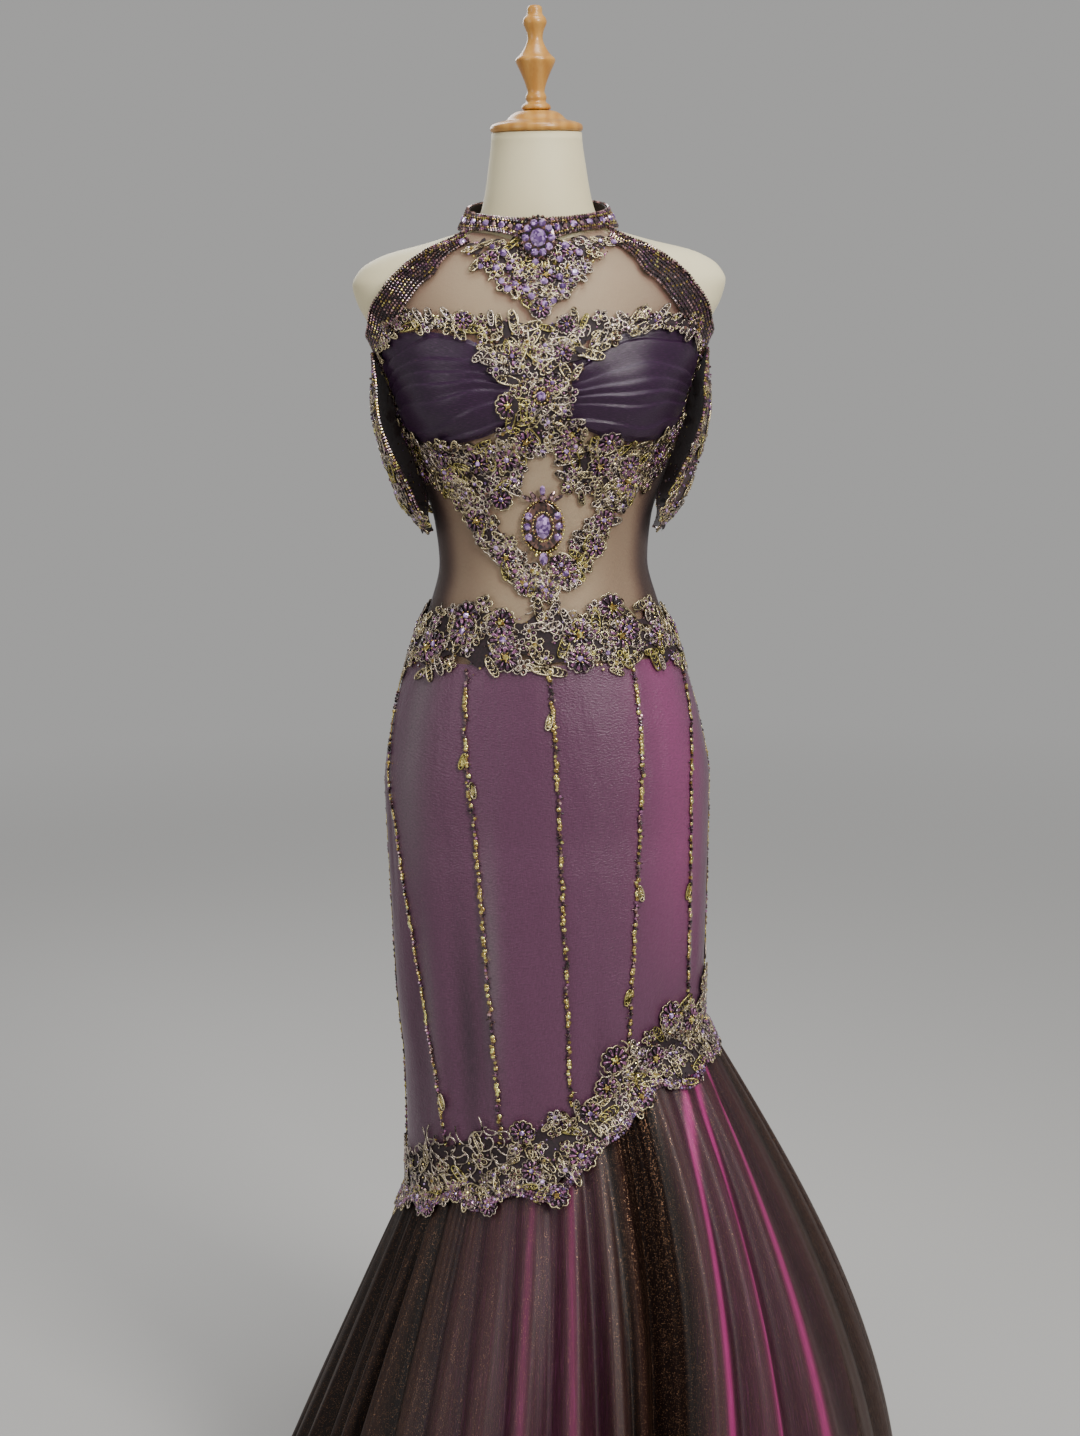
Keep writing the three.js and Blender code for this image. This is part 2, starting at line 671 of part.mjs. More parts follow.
// The girdle of lace over the waist seam, in a front and a back half
function makeWaistLace() {
  const band = (angle) => ({ middle: 1021 + 17 * Math.cos(angle * DEGREE), half: 37 });
  const height = () => NET_GAP + 1 + SATIN_THICK + 1.2;
  const end = SEAM_GAP / 4;
  const common = { motifs: 7, band, surface: bodyPoint, height };
  laceBand('lace_waist_front', { from: -90 + end, to: 90 - end, ...common });
  laceBand('lace_waist_back', { from: 90 + end, to: 270 - end, ...common });
}

// The slanting lace over the flare's seam lies on the satin above it and on the gathers below it
function hemSurface(angle, z) {
  const top = seamHeight(angle);
  return z >= top ? skirtPoint(angle, z) : flarePoint(angle, (top - z) / (top - HEM_HEIGHT));
}

function makeHemLace() {
  const middle = curve(HEM_LACE, 'angle', 'middle');
  const half = curve(HEM_LACE, 'angle', 'half');
  const band = (angle) => ({ middle: middle(angle), half: half(angle) });
  const height = (angle, z) => {
    const top = seamHeight(angle);
    const fall = Math.max(0, (top - z) / (top - HEM_HEIGHT));
    return SATIN_THICK + 1.4 + 1.2 * foldDepth(angle, fall);
  };
  const end = SEAM_GAP / 4;
  const common = { motifs: 8, band, surface: hemSurface, height };
  laceBand('lace_hem_front', { from: -90 + end, to: 90 - end, ...common });
  laceBand('lace_hem_back', { from: 90 + end, to: 270 - end, ...common });
}

// An applique that runs along a path on the net, or down the centre front
function applique(name, table, { columns, rows, side = 1, upright = false, height, hole, seed = 0 }) {
  const path = table.map((row, i) => ({ ...row, along: i }));
  const last = path.length - 1;
  const [angle, z, half] = ['angle', 'z', 'half'].map((key) => curve(path, 'along', key));
  clothWall(name, GOLD_LACE, {
    columns,
    rows,
    hole,
    inner: 0,
    outer: (u, v, i, j) => LACE_THICK + 2.6 * Math.abs(Math.sin(1.7 * i + 2.3 * j + seed)),
    place: (u, v, rise) => {
      const along = (upright ? v : u) * last;
      const wide = upright ? rows : columns;
      const scallop = mix(0.82, 1, Math.abs(Math.cos(Math.PI * 0.5 * (upright ? v : u) * wide)));
      const reach = (2 * (upright ? u : v) - 1) * half(along) * scallop;
      if (!upright) return lift(bodyPoint, side * angle(along), z(along) + reach, height + rise);
      const arm = bodyPoint(90, z(along)).x;
      const bearing = Math.asin(THREE.MathUtils.clamp(reach / arm, -1, 1)) / DEGREE;
      return lift(bodyPoint, bearing, z(along), height + rise);
    },
  });
}

function makeAppliques() {
  const height = NET_GAP + NET_THICK + 1.3;
  const overHollow = height + 1.2;
  const every = (di, dj, si, sj) => (i, j) => i % di === si && j % dj === sj;
  const inside = (columns, rows, test) => (i, j) =>
    i > 0 && j > 0 && i < columns - 1 && j < rows - 1 && test(i, j);
  applique('lace_bust_top', BUST_TOP_LACE, {
    columns: 24, rows: 3, height, hole: inside(24, 3, every(4, 3, 2, 1)),
  });
  applique('lace_bust_centre', BUST_CENTRE_LACE, {
    columns: 4, rows: 7, height, upright: true, hole: inside(4, 7, every(2, 3, 1, 2)), seed: 1,
  });
  applique('lace_underbust_left', UNDERBUST_LACE, {
    columns: 9, rows: 3, height: overHollow, side: -1, hole: inside(9, 3, every(3, 3, 1, 1)), seed: 2,
  });
  applique('lace_underbust_right', UNDERBUST_LACE, {
    columns: 9, rows: 3, height: overHollow, hole: inside(9, 3, every(3, 3, 1, 1)), seed: 3,
  });
  applique('lace_midriff', MIDRIFF_LACE, {
    columns: 8, rows: 6, height: height + 0.9, upright: true, seed: 4,
    hole: inside(8, 6, every(2, 2, 1, 1)),
  });
  applique('lace_bib', BIB_LACE, {
    columns: 8, rows: 4, height, upright: true, hole: inside(8, 4, every(3, 2, 1, 1)), seed: 5,
  });
}

// Brooches: a stone on a domed mount, flat at the back
function brooch(name, seat, { wide, tall, thick }) {
  const dome = [[0, 0], [1, 0], [0.96, 0.35], [0.62, 0.5], [0.5, 0.85], [0, 1]];
  const geometry = new THREE.LatheGeometry(dome.map(([r, h]) => new THREE.Vector2(r, h)), 16);
  geometry.rotateX(Math.PI);
  geometry.scale(wide / 2, thick, tall / 2);
  const mesh = addMesh(name, geometry, STONES);
  mesh.position.copy(seat);
}

// Satin hip panels, seamed under the bead strands
function makeHipPanels() {
  const angleOf = ({ top, hip, low }, v) =>
    v > HIP_SHARE ? mix(hip, top, (v - HIP_SHARE) / (1 - HIP_SHARE)) : mix(low, hip, v / HIP_SHARE);
  PANELS.forEach(({ start, end, columns }, i) => {
    clothWall(`hip_panel_${String(i + 1).padStart(2, '0')}`, PLUM_SATIN, {
      columns,
      rows: PANEL_ROWS,
      inner: 0,
      outer: SATIN_THICK,
      place: (u, v, height) => {
        const up = v ** 0.85;
        const angle = mix(angleOf(start, up) + SEAM_TRIM, angleOf(end, up) - SEAM_TRIM, u);
        const low = seamHeight(mix(start.low, end.low, u));
        return lift(skirtPoint, angle, mix(low, WAIST_SEAM, up), height);
      },
    });
  });
}

// Gathered organza overskirt
function makeOverskirt() {
  const width = 360 / OVERSKIRT.gores;
  const columns = 4 * OVERSKIRT.foldsEach;
  for (let g = 0; g < OVERSKIRT.gores; g++) {
    clothWall(`overskirt_gore_${g + 1}`, BROWN_ORGANZA, {
      columns,
      rows: OVERSKIRT.rows,
      inner: SATIN_THICK - ORGANZA_THICK,
      outer: SATIN_THICK,
      place: (u, v, height) => {
        const even = g * width + mix(SEAM_TRIM, width - SEAM_TRIM, u);
        const fall = (1 - v) ** 1.25;
        const point = overskirtPoint(even, fall, height);
        point.z -= SEAM_GAP * (1 - fall);
        return point;
      },
    });
  }
}

// Satin underskirt
function makeUnderskirt() {
  const width = 360 / UNDERSKIRT.gores;
  for (let g = 0; g < UNDERSKIRT.gores; g++) {
    clothWall(`underskirt_gore_${g + 1}`, MAGENTA_SATIN, {
      columns: UNDERSKIRT.columns,
      rows: UNDERSKIRT.rows,
      inner: 0,
      outer: LINING_THICK,
      place: (u, v, height) => {
        const angle = (g - 0.5) * width + mix(SEAM_TRIM, width - SEAM_TRIM, u);
        const fall = (1 - v) ** 1.25;
        const point = underskirtPoint(angle, fall, height - SEAM_GAP);
        point.z -= 1.5 * (1 - fall);
        return point;
      },
    });
  }
}

// The pull of the concealed zip, at the top of the centre back
function makeZipPull() {
  clothWall('zip_pull', GOLD_LACE, {
    columns: 1,
    rows: 2,
    inner: NET_GAP + NET_THICK + 0.4,
    outer: NET_GAP + NET_THICK + 2.2,
    place: (u, v, height) => {
      const half = mix(2.6, 1.6, v);
      const point = lift(bodyPoint, 180, mix(1252, 1276, v), height);
      point.x = (1 - 2 * u) * half;
      return point;
    },
  });
}

makeForm();
makeFinial();
makeStand();
makeBodice();
makeCollar();
makeHalter();
makeCups();
makeSleeves();
makeAppliques();
brooch('brooch_collar', new THREE.Vector3(0, -74.2, 1437), { wide: 38, tall: 46, thick: 8 });
brooch('brooch_midriff', new THREE.Vector3(0, -97.5, 1154), { wide: 42, tall: 76, thick: 9 });
makeWaistLace();
makeHipPanels();
makeHemLace();
makeUnderskirt();
makeOverskirt();
makeZipPull();

export default dress;
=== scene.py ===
import math

import bpy
import numpy as np
from mathutils import Matrix


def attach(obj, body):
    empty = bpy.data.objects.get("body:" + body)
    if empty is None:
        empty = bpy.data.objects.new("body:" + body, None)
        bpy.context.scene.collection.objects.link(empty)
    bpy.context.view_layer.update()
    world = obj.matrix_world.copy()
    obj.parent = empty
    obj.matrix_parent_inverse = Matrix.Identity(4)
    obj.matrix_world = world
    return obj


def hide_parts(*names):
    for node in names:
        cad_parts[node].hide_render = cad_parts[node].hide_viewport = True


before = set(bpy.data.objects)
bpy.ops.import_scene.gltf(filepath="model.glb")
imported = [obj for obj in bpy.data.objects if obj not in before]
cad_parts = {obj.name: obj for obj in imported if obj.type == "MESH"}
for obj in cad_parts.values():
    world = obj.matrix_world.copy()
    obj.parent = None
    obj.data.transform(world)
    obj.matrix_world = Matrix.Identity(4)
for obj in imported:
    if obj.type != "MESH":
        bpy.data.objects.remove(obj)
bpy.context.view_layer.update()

MM = 0.001
DEG = math.pi / 180

# Driving dimensions, in millimetres and degrees, as in the part
NET_HEIGHT = 1.6
SATIN_HEIGHT = 2.2
CUP_HEIGHT = 4.2
ON_NET = 2.6
ON_SATIN = 5.4
ON_CUP = 7.4
WAIST_SEAM = 1010
HEM_HEIGHT = 8
LINING_HEM = 14
FLARE_SEAM = {"middle": 515, "slant": 95}
FLARE_HEM = {"left": 333, "right": 368, "front": 352, "back": 400}
FOLDS = 36
FOLD_DEPTH = 14
PARTING = {"angle": 29, "width": 4.5, "depth": 38}
LINING_PARTING = {"angle": 29, "width": 16, "depth": 50}
BUST = {"angle": 34, "height": 1278, "width": 25, "tall": 46, "out": 20}
COLLAR_TOP = {"height": 1468, "tilt": 11, "half": 69, "front": 61, "back": 64}
COLLAR_LOW = {"height": 1449, "tilt": 12, "half": 78, "front": 66, "back": 70}
COLLAR_SEAT = 4.4
CUP = {"inner": 11, "outer": 77, "pleats": 7, "rise": 2.6}
FORM_LOW = 790
FORM_TOP = 1543
FORM_INSET = {"depth": 3.2, "height": 1350, "tall": 76}
NET_LOW = WAIST_SEAM - 4
NET_TOP = 1434
BACK_TOP = {"side": 1334, "middle": 1300}
COLLAR_BROOCH = 1438
CENTRE_STONE = 1283
MIDRIFF_BROOCH = 1152
ZIP_TAB = 1258
ZIP_SLIDE = 1269
WAIST_LACE = {"middle": 1021, "rise": 17, "half": 37}
STRAND_SPACING = 3.4
STRAIGHTENED = {"angle": 42, "width": 28, "by": 13}

FORM_SECTIONS = np.array([
    # z, half, front, back
    (790, 159, 100, 112), (830, 166, 106, 119), (871, 168, 108, 121), (936, 158, 104, 116),
    (979, 147, 99, 108), (1022, 134, 94, 97), (1064, 117, 88, 84), (1107, 107, 85, 76),
    (1150, 111, 87, 78), (1200, 127, 92, 85), (1240, 139, 97, 91), (1275, 148, 101, 95),
    (1315, 162, 101, 97), (1350, 177, 96, 95), (1375, 190, 87, 90), (1393, 194, 78, 84),
    (1408, 186, 70, 76), (1422, 163, 65, 70), (1437, 107, 61, 66), (1452, 66, 58, 62),
    (1474, 56, 55, 57), (1508, 50, 49, 51), (1543, 46, 45, 46),
], float)

SKIRT_SECTIONS = np.array([
    # z, half, front, back
    (380, 157, 122, 131), (513, 156, 122, 131), (570, 157, 122, 131), (627, 162, 121, 131),
    (695, 165, 119, 130), (783, 168, 116, 128), (830, 169.5, 112, 125), (871, 170.5, 111, 124),
    (936, 161, 107, 119), (979, 150, 102, 111), (1022, 137, 97, 100),
], float)

# Seams under the bead strands: the angle at the waist seam, the hips and the flare
PANEL_SEAMS = [
    (-90, -68, -44), (-34, -26, -20), (2, 4, 7), (39, 34, 29), (77, 60, 62), (102, 96, 92),
    (126, 124, 122), (153, 152, 151), (180, 180, 180), (207, 208, 209), (234, 236, 238), (258, 264, 268),
]
HIP_SHARE = 0.68

# Soft troughs in the satin: angle, width, z, height of the stretch, depth
SKIRT_TROUGHS = [
    (-34, 8, 600, 120, 6), (-58, 8, 640, 110, 4), (48, 9, 640, 110, 4),
    (137, 9, 620, 110, 5), (222, 9, 560, 110, 5),
]
# Finer creases of the satin, which only the cloth's surface shows
SKIRT_CREASES = [
    (-46, 3.2, 560, 90, 2.6), (-27, 2.6, 640, 130, 2.2), (-12, 3.0, 570, 80, 1.6), (16, 3.5, 620, 90, 1.4),
    (44, 2.8, 900, 60, 1.3), (52, 3.0, 780, 90, 1.5), (66, 2.8, 700, 80, 1.8), (110, 3.2, 640, 100, 1.8),
    (165, 3.4, 600, 120, 2.0), (195, 3.0, 680, 100, 1.6), (250, 3.2, 560, 110, 2.2), (-75, 3.0, 820, 90, 1.4),
]

NET_EDGE = np.array([
    (1010, 90), (1330, 90), (1350, 74), (1375, 60), (1393, 51), (1408, 47), (1422, 45), (1434, 49),
], float)

# The halter band's outer edge and inner edge, as angle and height, from the collar to the centre back
HALTER_BAND = np.array([
    (56, 1444, 34, 1433),
    (50, 1435, 33, 1420), (46, 1422, 33, 1405), (48, 1408, 38, 1391), (52, 1393, 44, 1375),
    (61, 1375, 53.5, 1355), (75, 1352, 68, 1330), (96, 1338, 93, 1314), (118, 1326, 117, 1302),
    (140, 1316, 140, 1292), (160, 1309, 160, 1285), (179.7, 1306, 179.7, 1282),
], float)

CUP_EDGES = np.array([
    (0, 1254, 1318), (0.2, 1243, 1339), (0.45, 1236, 1347), (0.7, 1238, 1344), (0.88, 1247, 1330),
    (1, 1260, 1306),
], float)

SLEEVE_ROWS = np.array([
    # z, front angle, back angle, distance off the body
    (1139, 84, 104, 9), (1160, 62, 116, 24), (1190, 60, 126, 30), (1225, 64, 132, 30),
    (1262, 67, 130, 29), (1296, 70, 122, 20), (1328, 77, 108, 7.2),
], float)

HEM_LACE = np.array([
    # angle, middle, half the width
    (-90, 434, 37), (-45, 470, 46), (0, 500, 43), (36, 584, 42), (67, 606, 48), (90, 624, 40),
    (135, 590, 38), (180, 520, 38), (225, 452, 38), (270, 434, 37),
], float)


def curve(table, column):
    """A smooth curve through one column of a table, with no overshoot between rows."""
    x, y = table[:, 0], table[:, column]
    step = np.diff(x)
    rise = np.diff(y) / step
    slope = np.zeros(len(x))
    both = rise[:-1] * rise[1:]
    total = rise[:-1] + rise[1:]
    slope[1:-1] = np.where(both > 0, 2 * both / np.where(total == 0, 1, total), 0)

    def at(value):
        v = np.clip(np.asarray(value, float), x[0], x[-1])
        i = np.clip(np.searchsorted(x, v, side="left") - 1, 0, len(x) - 2)
        s = (v - x[i]) / step[i]
        a, b = y[i], y[i + 1]
        start, end = slope[i] * step[i], slope[i + 1] * step[i]
        return a + s * (start + s * (3 * (b - a) - 2 * start - end + s * (start + end - 2 * (b - a))))

    return at


def mix(a, b, share):
    return a + (b - a) * share


def bell(distance, width):
    return np.exp(-((distance / width) ** 2))


def turn(start, end):
    return (end - start + 180) % 360 - 180


def smooth(low, high, value):
    s = np.clip((value - low) / (high - low), 0, 1)
    return s * s * (3 - 2 * s)


def ellipse(angle, z, half, front, back, out=0.0):
    side, ahead = np.sin(angle * DEG), np.cos(angle * DEG)
    depth = np.where(ahead > 0, front, back)
    return np.stack(np.broadcast_arrays((half + out) * side, -(depth + out) * ahead, z), -1)


def outward(angle, length):
    side, ahead = np.sin(angle * DEG), np.cos(angle * DEG)
    return np.stack(np.broadcast_arrays(length * side, -length * ahead, 0.0), -1)


form_half, form_front, form_back = (curve(FORM_SECTIONS, k) for k in (1, 2, 3))
skirt_half, skirt_front, skirt_back = (curve(SKIRT_SECTIONS, k) for k in (1, 2, 3))


def body(angle, z):
    tall = bell(z - BUST["height"], BUST["tall"])
    wide = sum(bell(turn(side * BUST["angle"], angle), BUST["width"]) for side in (1, -1))
    return ellipse(angle, z, form_half(z), form_front(z), form_back(z), BUST["out"] * tall * wide)


def pressed(angle, z, table):
    total = 0.0
    for at, width, height, tall, depth in table:
        total = total + depth * bell(turn(at, angle), width) * bell(z - height, tall)
    return total


def skirt(angle, z, fine=False):
    depth = pressed(angle, z, SKIRT_TROUGHS)
    if fine:
        depth = depth + pressed(angle, z, SKIRT_CREASES)
    return ellipse(angle, z, skirt_half(z), skirt_front(z), skirt_back(z), -depth)


def fine_skirt(angle, z):
    return skirt(angle, z, fine=True)


def seam_height(angle):
    return FLARE_SEAM["middle"] + FLARE_SEAM["slant"] * np.sin(angle * DEG)


def flare(angle, fall, parting=PARTING, hem=HEM_HEIGHT, seam=None):
    """The flare without its folds; seam is the angle that each place has at the top."""
    top = seam_height(angle)
    start = skirt(angle, top)
    side = np.sin(angle * DEG)
    width = np.where(side > 0, FLARE_HEM["right"], FLARE_HEM["left"])
    end = ellipse(angle, hem, width, FLARE_HEM["front"], FLARE_HEM["back"])
    spread = mix(fall, np.sin(fall * math.pi / 2), (1 + side) / 2)[..., None]
    beside = turn(parting["angle"], angle if seam is None else seam)
    parted = parting["depth"] * bell(beside, parting["width"]) * fall**0.7
    point = start * (1 - spread) + end * spread
    point[..., 2] = mix(top, hem, fall)
    return point + outward(angle, -parted)


def fold_angle(even):
    return even + 2.2 * np.sin((5 * even + 60) * DEG) + 1.1 * np.sin((9 * even + 20) * DEG)


def fold_depth(angle, fall):
    uneven = 1 + 0.25 * np.sin((4 * angle + 40) * DEG) + 0.2 * np.sin((7 * angle + 110) * DEG)
    return FOLD_DEPTH * fall**0.8 * uneven


def fall_at(angle, z):
    """How far down the flare a height lies: 0 at its seam, 1 at the hem."""
    top = seam_height(angle)
    return np.clip((top - z) / (top - HEM_HEIGHT), 0, 1)


def hem_surface(angle, z):
    below = flare(angle, fall_at(angle, z))
    return np.where((z >= seam_height(angle))[..., None], skirt(angle, z), below)


def normal_of(surface, angle, z, step=0.5):
    across = surface(angle + step, z) - surface(angle - step, z)
    up = surface(angle, z + step) - surface(angle, z - step)
    n = np.cross(across, up)
    return n / np.linalg.norm(n, axis=-1, keepdims=True)


def lift(surface, angle, z, height):
    angle, z = np.broadcast_arrays(np.asarray(angle, float), np.asarray(z, float))
    height = np.broadcast_to(height, angle.shape)
    return surface(angle, z) + normal_of(surface, angle, z) * height[..., None]


def grid(u, v):
    """Every pair of two lists of values, columns first."""
    return np.meshgrid(u, v, indexing="ij")


def run_along(points):
    """The length run at each point of a path."""
    return np.concatenate([[0], np.cumsum(np.linalg.norm(np.diff(points, axis=0), axis=-1))])


# Materials


def srgb(r, g, b):
    def linear(c):
        c /= 255
        return c / 12.92 if c <= 0.04045 else ((c + 0.055) / 1.055) ** 2.4

    return (linear(r), linear(g), linear(b), 1.0)


def tone(r, g, b):
    """A colour for a cloth, its own or the light and shade painted on it."""
    return np.array(srgb(r, g, b)[:3])


class Shade:
    """A Principled material with helpers for procedural detail."""

    def __init__(self, name, roughness=0.5, metallic=0.0):
        self.m = bpy.data.materials.new(name)
        self.m.use_nodes = True
        self.tree = self.m.node_tree
        self.p = self.tree.nodes["Principled BSDF"]
        self.p.inputs["Roughness"].default_value = roughness
        self.p.inputs["Metallic"].default_value = metallic
        self.coords = self.tree.nodes.new("ShaderNodeTexCoord")

    def set(self, **values):
        for key, value in values.items():
            self.p.inputs[key.replace("_", " ")].default_value = value
        return self

    def node(self, kind, **inputs):
        n = self.tree.nodes.new(kind)
        for key, value in inputs.items():
            n.inputs[key.replace("_", " ")].default_value = value
        return n

    def link(self, a, b):
        self.tree.links.new(a, b)

    def place(self, source="Object", scale=(1, 1, 1), turn_z=0.0):
        n = self.node("ShaderNodeMapping", Scale=scale, Rotation=(0, 0, turn_z))
        self.link(self.coords.outputs[source], n.inputs["Vector"])
        return n.outputs["Vector"]

    def noise(self, scale, detail=3.0, vector=None):
        n = self.node("ShaderNodeTexNoise", Scale=scale, Detail=detail)
        self.link(vector or self.coords.outputs["Object"], n.inputs["Vector"])
        return n.outputs["Fac"]

    def wave(self, scale, vector, distortion=0.0, direction="X"):
        n = self.node("ShaderNodeTexWave", Scale=scale, Distortion=distortion, Detail=2.0)
        n.bands_direction = direction
        self.link(vector, n.inputs["Vector"])
        return n.outputs["Fac"]

    def cells(self, scale, channel):
        """A number of its own for each cell: one channel of the cells' colours."""
        cells = self.node("ShaderNodeTexVoronoi", Scale=scale)
        self.link(self.coords.outputs["Object"], cells.inputs["Vector"])
        n = self.node("ShaderNodeSeparateColor")
        self.link(cells.outputs["Color"], n.inputs["Color"])
        return n.outputs[channel]

    def attribute(self, name, output="Color"):
        n = self.node("ShaderNodeAttribute")
        n.attribute_name = name
        return n.outputs[output]

    def ramp(self, value, stops):
        n = self.node("ShaderNodeValToRGB")
        self.link(value, n.inputs["Fac"])
        ends = n.color_ramp.elements
        while len(ends) < len(stops):
            ends.new(0.5)
        for element, (at, colour) in zip(ends, stops):
            element.position = at
            element.color = colour if len(colour) == 4 else (*colour, 1)
        return n.outputs["Color"]

    def levels(self, value, low, high, to_low, to_high):
        n = self.node("ShaderNodeMapRange")
        self.link(value, n.inputs["Value"])
        for key, number in (("From Min", low), ("From Max", high), ("To Min", to_low), ("To Max", to_high)):
            n.inputs[key].default_value = number
        return n.outputs["Result"]

    def math(self, how, a, b):
        n = self.node("ShaderNodeMath")
        n.operation = how
        for k, value in enumerate((a, b)):
            if isinstance(value, (int, float)):
                n.inputs[k].default_value = value
            else:
                self.link(value, n.inputs[k])
        return n.outputs["Value"]

    def blend(self, share, a, b):
        n = self.node("ShaderNodeMix")
        n.data_type = "RGBA"
        for socket, value in ((n.inputs["Factor"], share), (n.inputs[6], a), (n.inputs[7], b)):
            if isinstance(value, (int, float, tuple)):
                socket.default_value = value
            else:
                self.link(value, socket)
        return n.outputs[2]

    def colour(self, value):
        self.link(value, self.p.inputs["Base Color"])

    def bump(self, value, strength, distance):
        n = self.node("ShaderNodeBump", Strength=strength, Distance=distance)
        self.link(value, n.inputs["Height"])
        if self.p.inputs["Normal"].is_linked:
            self.link(self.p.inputs["Normal"].links[0].from_socket, n.inputs["Normal"])
        self.link(n.outputs["Normal"], self.p.inputs["Normal"])


def ivory_skin():
    s = Shade("ivory_skin", 0.6).set(Sheen_Weight=0.15)
    patch = s.noise(9, 4)
    s.colour(s.ramp(patch, [(0.3, srgb(218, 206, 166)), (0.7, srgb(230, 220, 182))]))
    s.bump(s.noise(1400, 2), 0.12, 0.0004)
    s.bump(patch, 0.1, 0.001)
    return s.m


def beech():
    s = Shade("turned_beech", 0.36).set(Coat_Weight=0.25, Coat_Roughness=0.2)
    grain = s.wave(26, s.place(scale=(1, 1, 0.14)), 6.0)
    fine = s.noise(420, 4, s.place(scale=(1, 1, 0.08)))
    both = s.math("ADD", s.math("MULTIPLY", grain, 0.45), s.math("MULTIPLY", fine, 0.6))
    s.colour(s.ramp(both, [(0.1, srgb(168, 112, 42)), (0.5, srgb(186, 132, 56)), (0.95, srgb(200, 150, 74))]))
    s.bump(fine, 0.12, 0.0003)
    return s.m


def powder_coat():
    s = Shade("stand_powder_coat", 0.5, 0.4)
    s.colour(s.ramp(s.noise(60), [(0.3, srgb(150, 150, 152)), (0.7, srgb(170, 170, 172))]))
    s.bump(s.noise(1800, 2), 0.2, 0.0002)
    return s.m


def net_cloth(name, light, dark, cover):
    """Fine net: threads in two directions with the ivory showing through between them."""
    s = Shade(name, 0.75).set(Sheen_Weight=0.08)
    # The shadow attribute is denser cloth and painted shade together: it darkens the colour towards dark and
    # thickens the net.
    tint_and_light = s.attribute("shadow", "Fac")
    slub = s.noise(90, 5, s.place("UV", (30, 4, 1)))
    s.colour(s.blend(tint_and_light, s.ramp(slub, [(0.35, light), (0.7, tuple(0.75 * c for c in light[:3]))]), dark))
    weave = s.math("MAXIMUM", s.wave(330, s.place("UV")), s.wave(330, s.place("UV"), direction="Y"))
    thread = s.levels(weave, 0.55, 0.95, cover - 0.2, cover + 0.16)
    cloud = s.levels(slub, 0.3, 0.7, -0.07, 0.07)
    dense = s.math("ADD", s.math("ADD", thread, cloud), s.math("MULTIPLY", tint_and_light, 0.4))
    s.link(s.levels(dense, 0.0, 1.0, 0.0, 1.0), s.p.inputs["Alpha"])
    s.bump(weave, 0.25, 0.0003)
    return s.m


def cup_satin():
    s = Shade("cup_satin", 0.34).set(Sheen_Weight=0.04, Specular_IOR_Level=0.42)
    streak = s.noise(60, 4, s.place("UV", (3, 26, 1)))
    s.colour(s.ramp(streak, [(0.3, srgb(32, 10, 36)), (0.55, srgb(44, 18, 48)), (0.8, srgb(76, 40, 76))]))
    s.link(s.levels(streak, 0.3, 0.75, 0.44, 0.28), s.p.inputs["Roughness"])
    s.bump(streak, 0.3, 0.0012)
    s.bump(s.wave(420, s.place("UV"), direction="DIAGONAL"), 0.08, 0.0002)
    return s.m


def satin_with_painted_sheen():
    """Purple satin whose colour attribute carries a painted magenta sheen, a painted grey sheen and painted
    shade.
    """
    s = Shade("satin_with_painted_sheen", 0.34).set(Sheen_Weight=0.06, Specular_IOR_Level=0.5)
    base = s.attribute("tint_and_light")
    streak = s.noise(70, 5, s.place("UV", (26, 1.6, 1)))
    cross = s.noise(60, 4, s.place("UV", (5, 9, 1), 0.5))
    share = s.levels(streak, 0.35, 0.75, 0.0, 0.3)
    lighter = s.blend(share, base, srgb(134, 84, 118))
    s.colour(s.blend(s.levels(cross, 0.35, 0.7, 0.0, 0.3), lighter, srgb(46, 24, 42)))
    s.link(s.levels(streak, 0.3, 0.8, 0.42, 0.26), s.p.inputs["Roughness"])
    s.bump(cross, 0.4, 0.002)
    s.bump(streak, 0.2, 0.0008)
    s.bump(s.noise(9, 3, s.place("UV", (2.2, 0.7, 1), 0.3)), 0.7, 0.006)
    s.bump(s.wave(520, s.place("UV"), direction="DIAGONAL"), 0.06, 0.0001)
    return s.m


def lining_satin():
    s = Shade("magenta_lining", 0.3).set(Sheen_Weight=0.5, Sheen_Roughness=0.3, Specular_IOR_Level=0.7)
    s.p.inputs["Sheen Tint"].default_value = srgb(255, 120, 220)
    streak = s.noise(40, 4, s.place("UV", (14, 0.6, 1)))
    stops = [(0.3, srgb(96, 20, 74)), (0.55, srgb(150, 36, 118)), (0.75, srgb(226, 92, 190))]
    s.colour(s.ramp(streak, stops))
    s.bump(streak, 0.25, 0.002)
    return s.m


def glitter_organza():
    s = Shade("glitter_organza", 0.5).set(Sheen_Weight=0.04, Sheen_Roughness=0.4)
    s.p.inputs["Sheen Tint"].default_value = srgb(180, 130, 100)
    # The colour attribute carries painted light and shade as well as the brown.
    base = s.attribute("tint_and_light")
    streak = s.noise(60, 5, s.place("UV", (36, 1.0, 1)))
    soft = s.blend(s.levels(streak, 0.4, 0.75, 0.0, 0.13), base, srgb(80, 54, 42))
    spark = s.levels(s.cells(2300, "Red"), 0.955, 0.975, 0.0, 0.7)
    s.colour(s.blend(spark, soft, srgb(176, 132, 100)))
    s.link(s.math("MULTIPLY", spark, 0.9), s.p.inputs["Metallic"])
    s.link(s.levels(spark, 0.0, 1.0, 0.5, 0.16), s.p.inputs["Roughness"])
    sheer = s.attribute("sheer", "Fac")
    cover = s.levels(streak, 0.3, 0.75, 0.72, 0.95)
    cover = s.math("ADD", cover, s.math("MULTIPLY", sheer, -0.5))
    s.link(s.math("MAXIMUM", cover, s.math("MULTIPLY", spark, 0.95)), s.p.inputs["Alpha"])
    s.link(s.levels(sheer, -0.7, 0.0, 0.03, 0.45), s.p.inputs["Specular IOR Level"])
    s.bump(s.wave(420, s.place("UV")), 0.12, 0.0002)
    return s.m


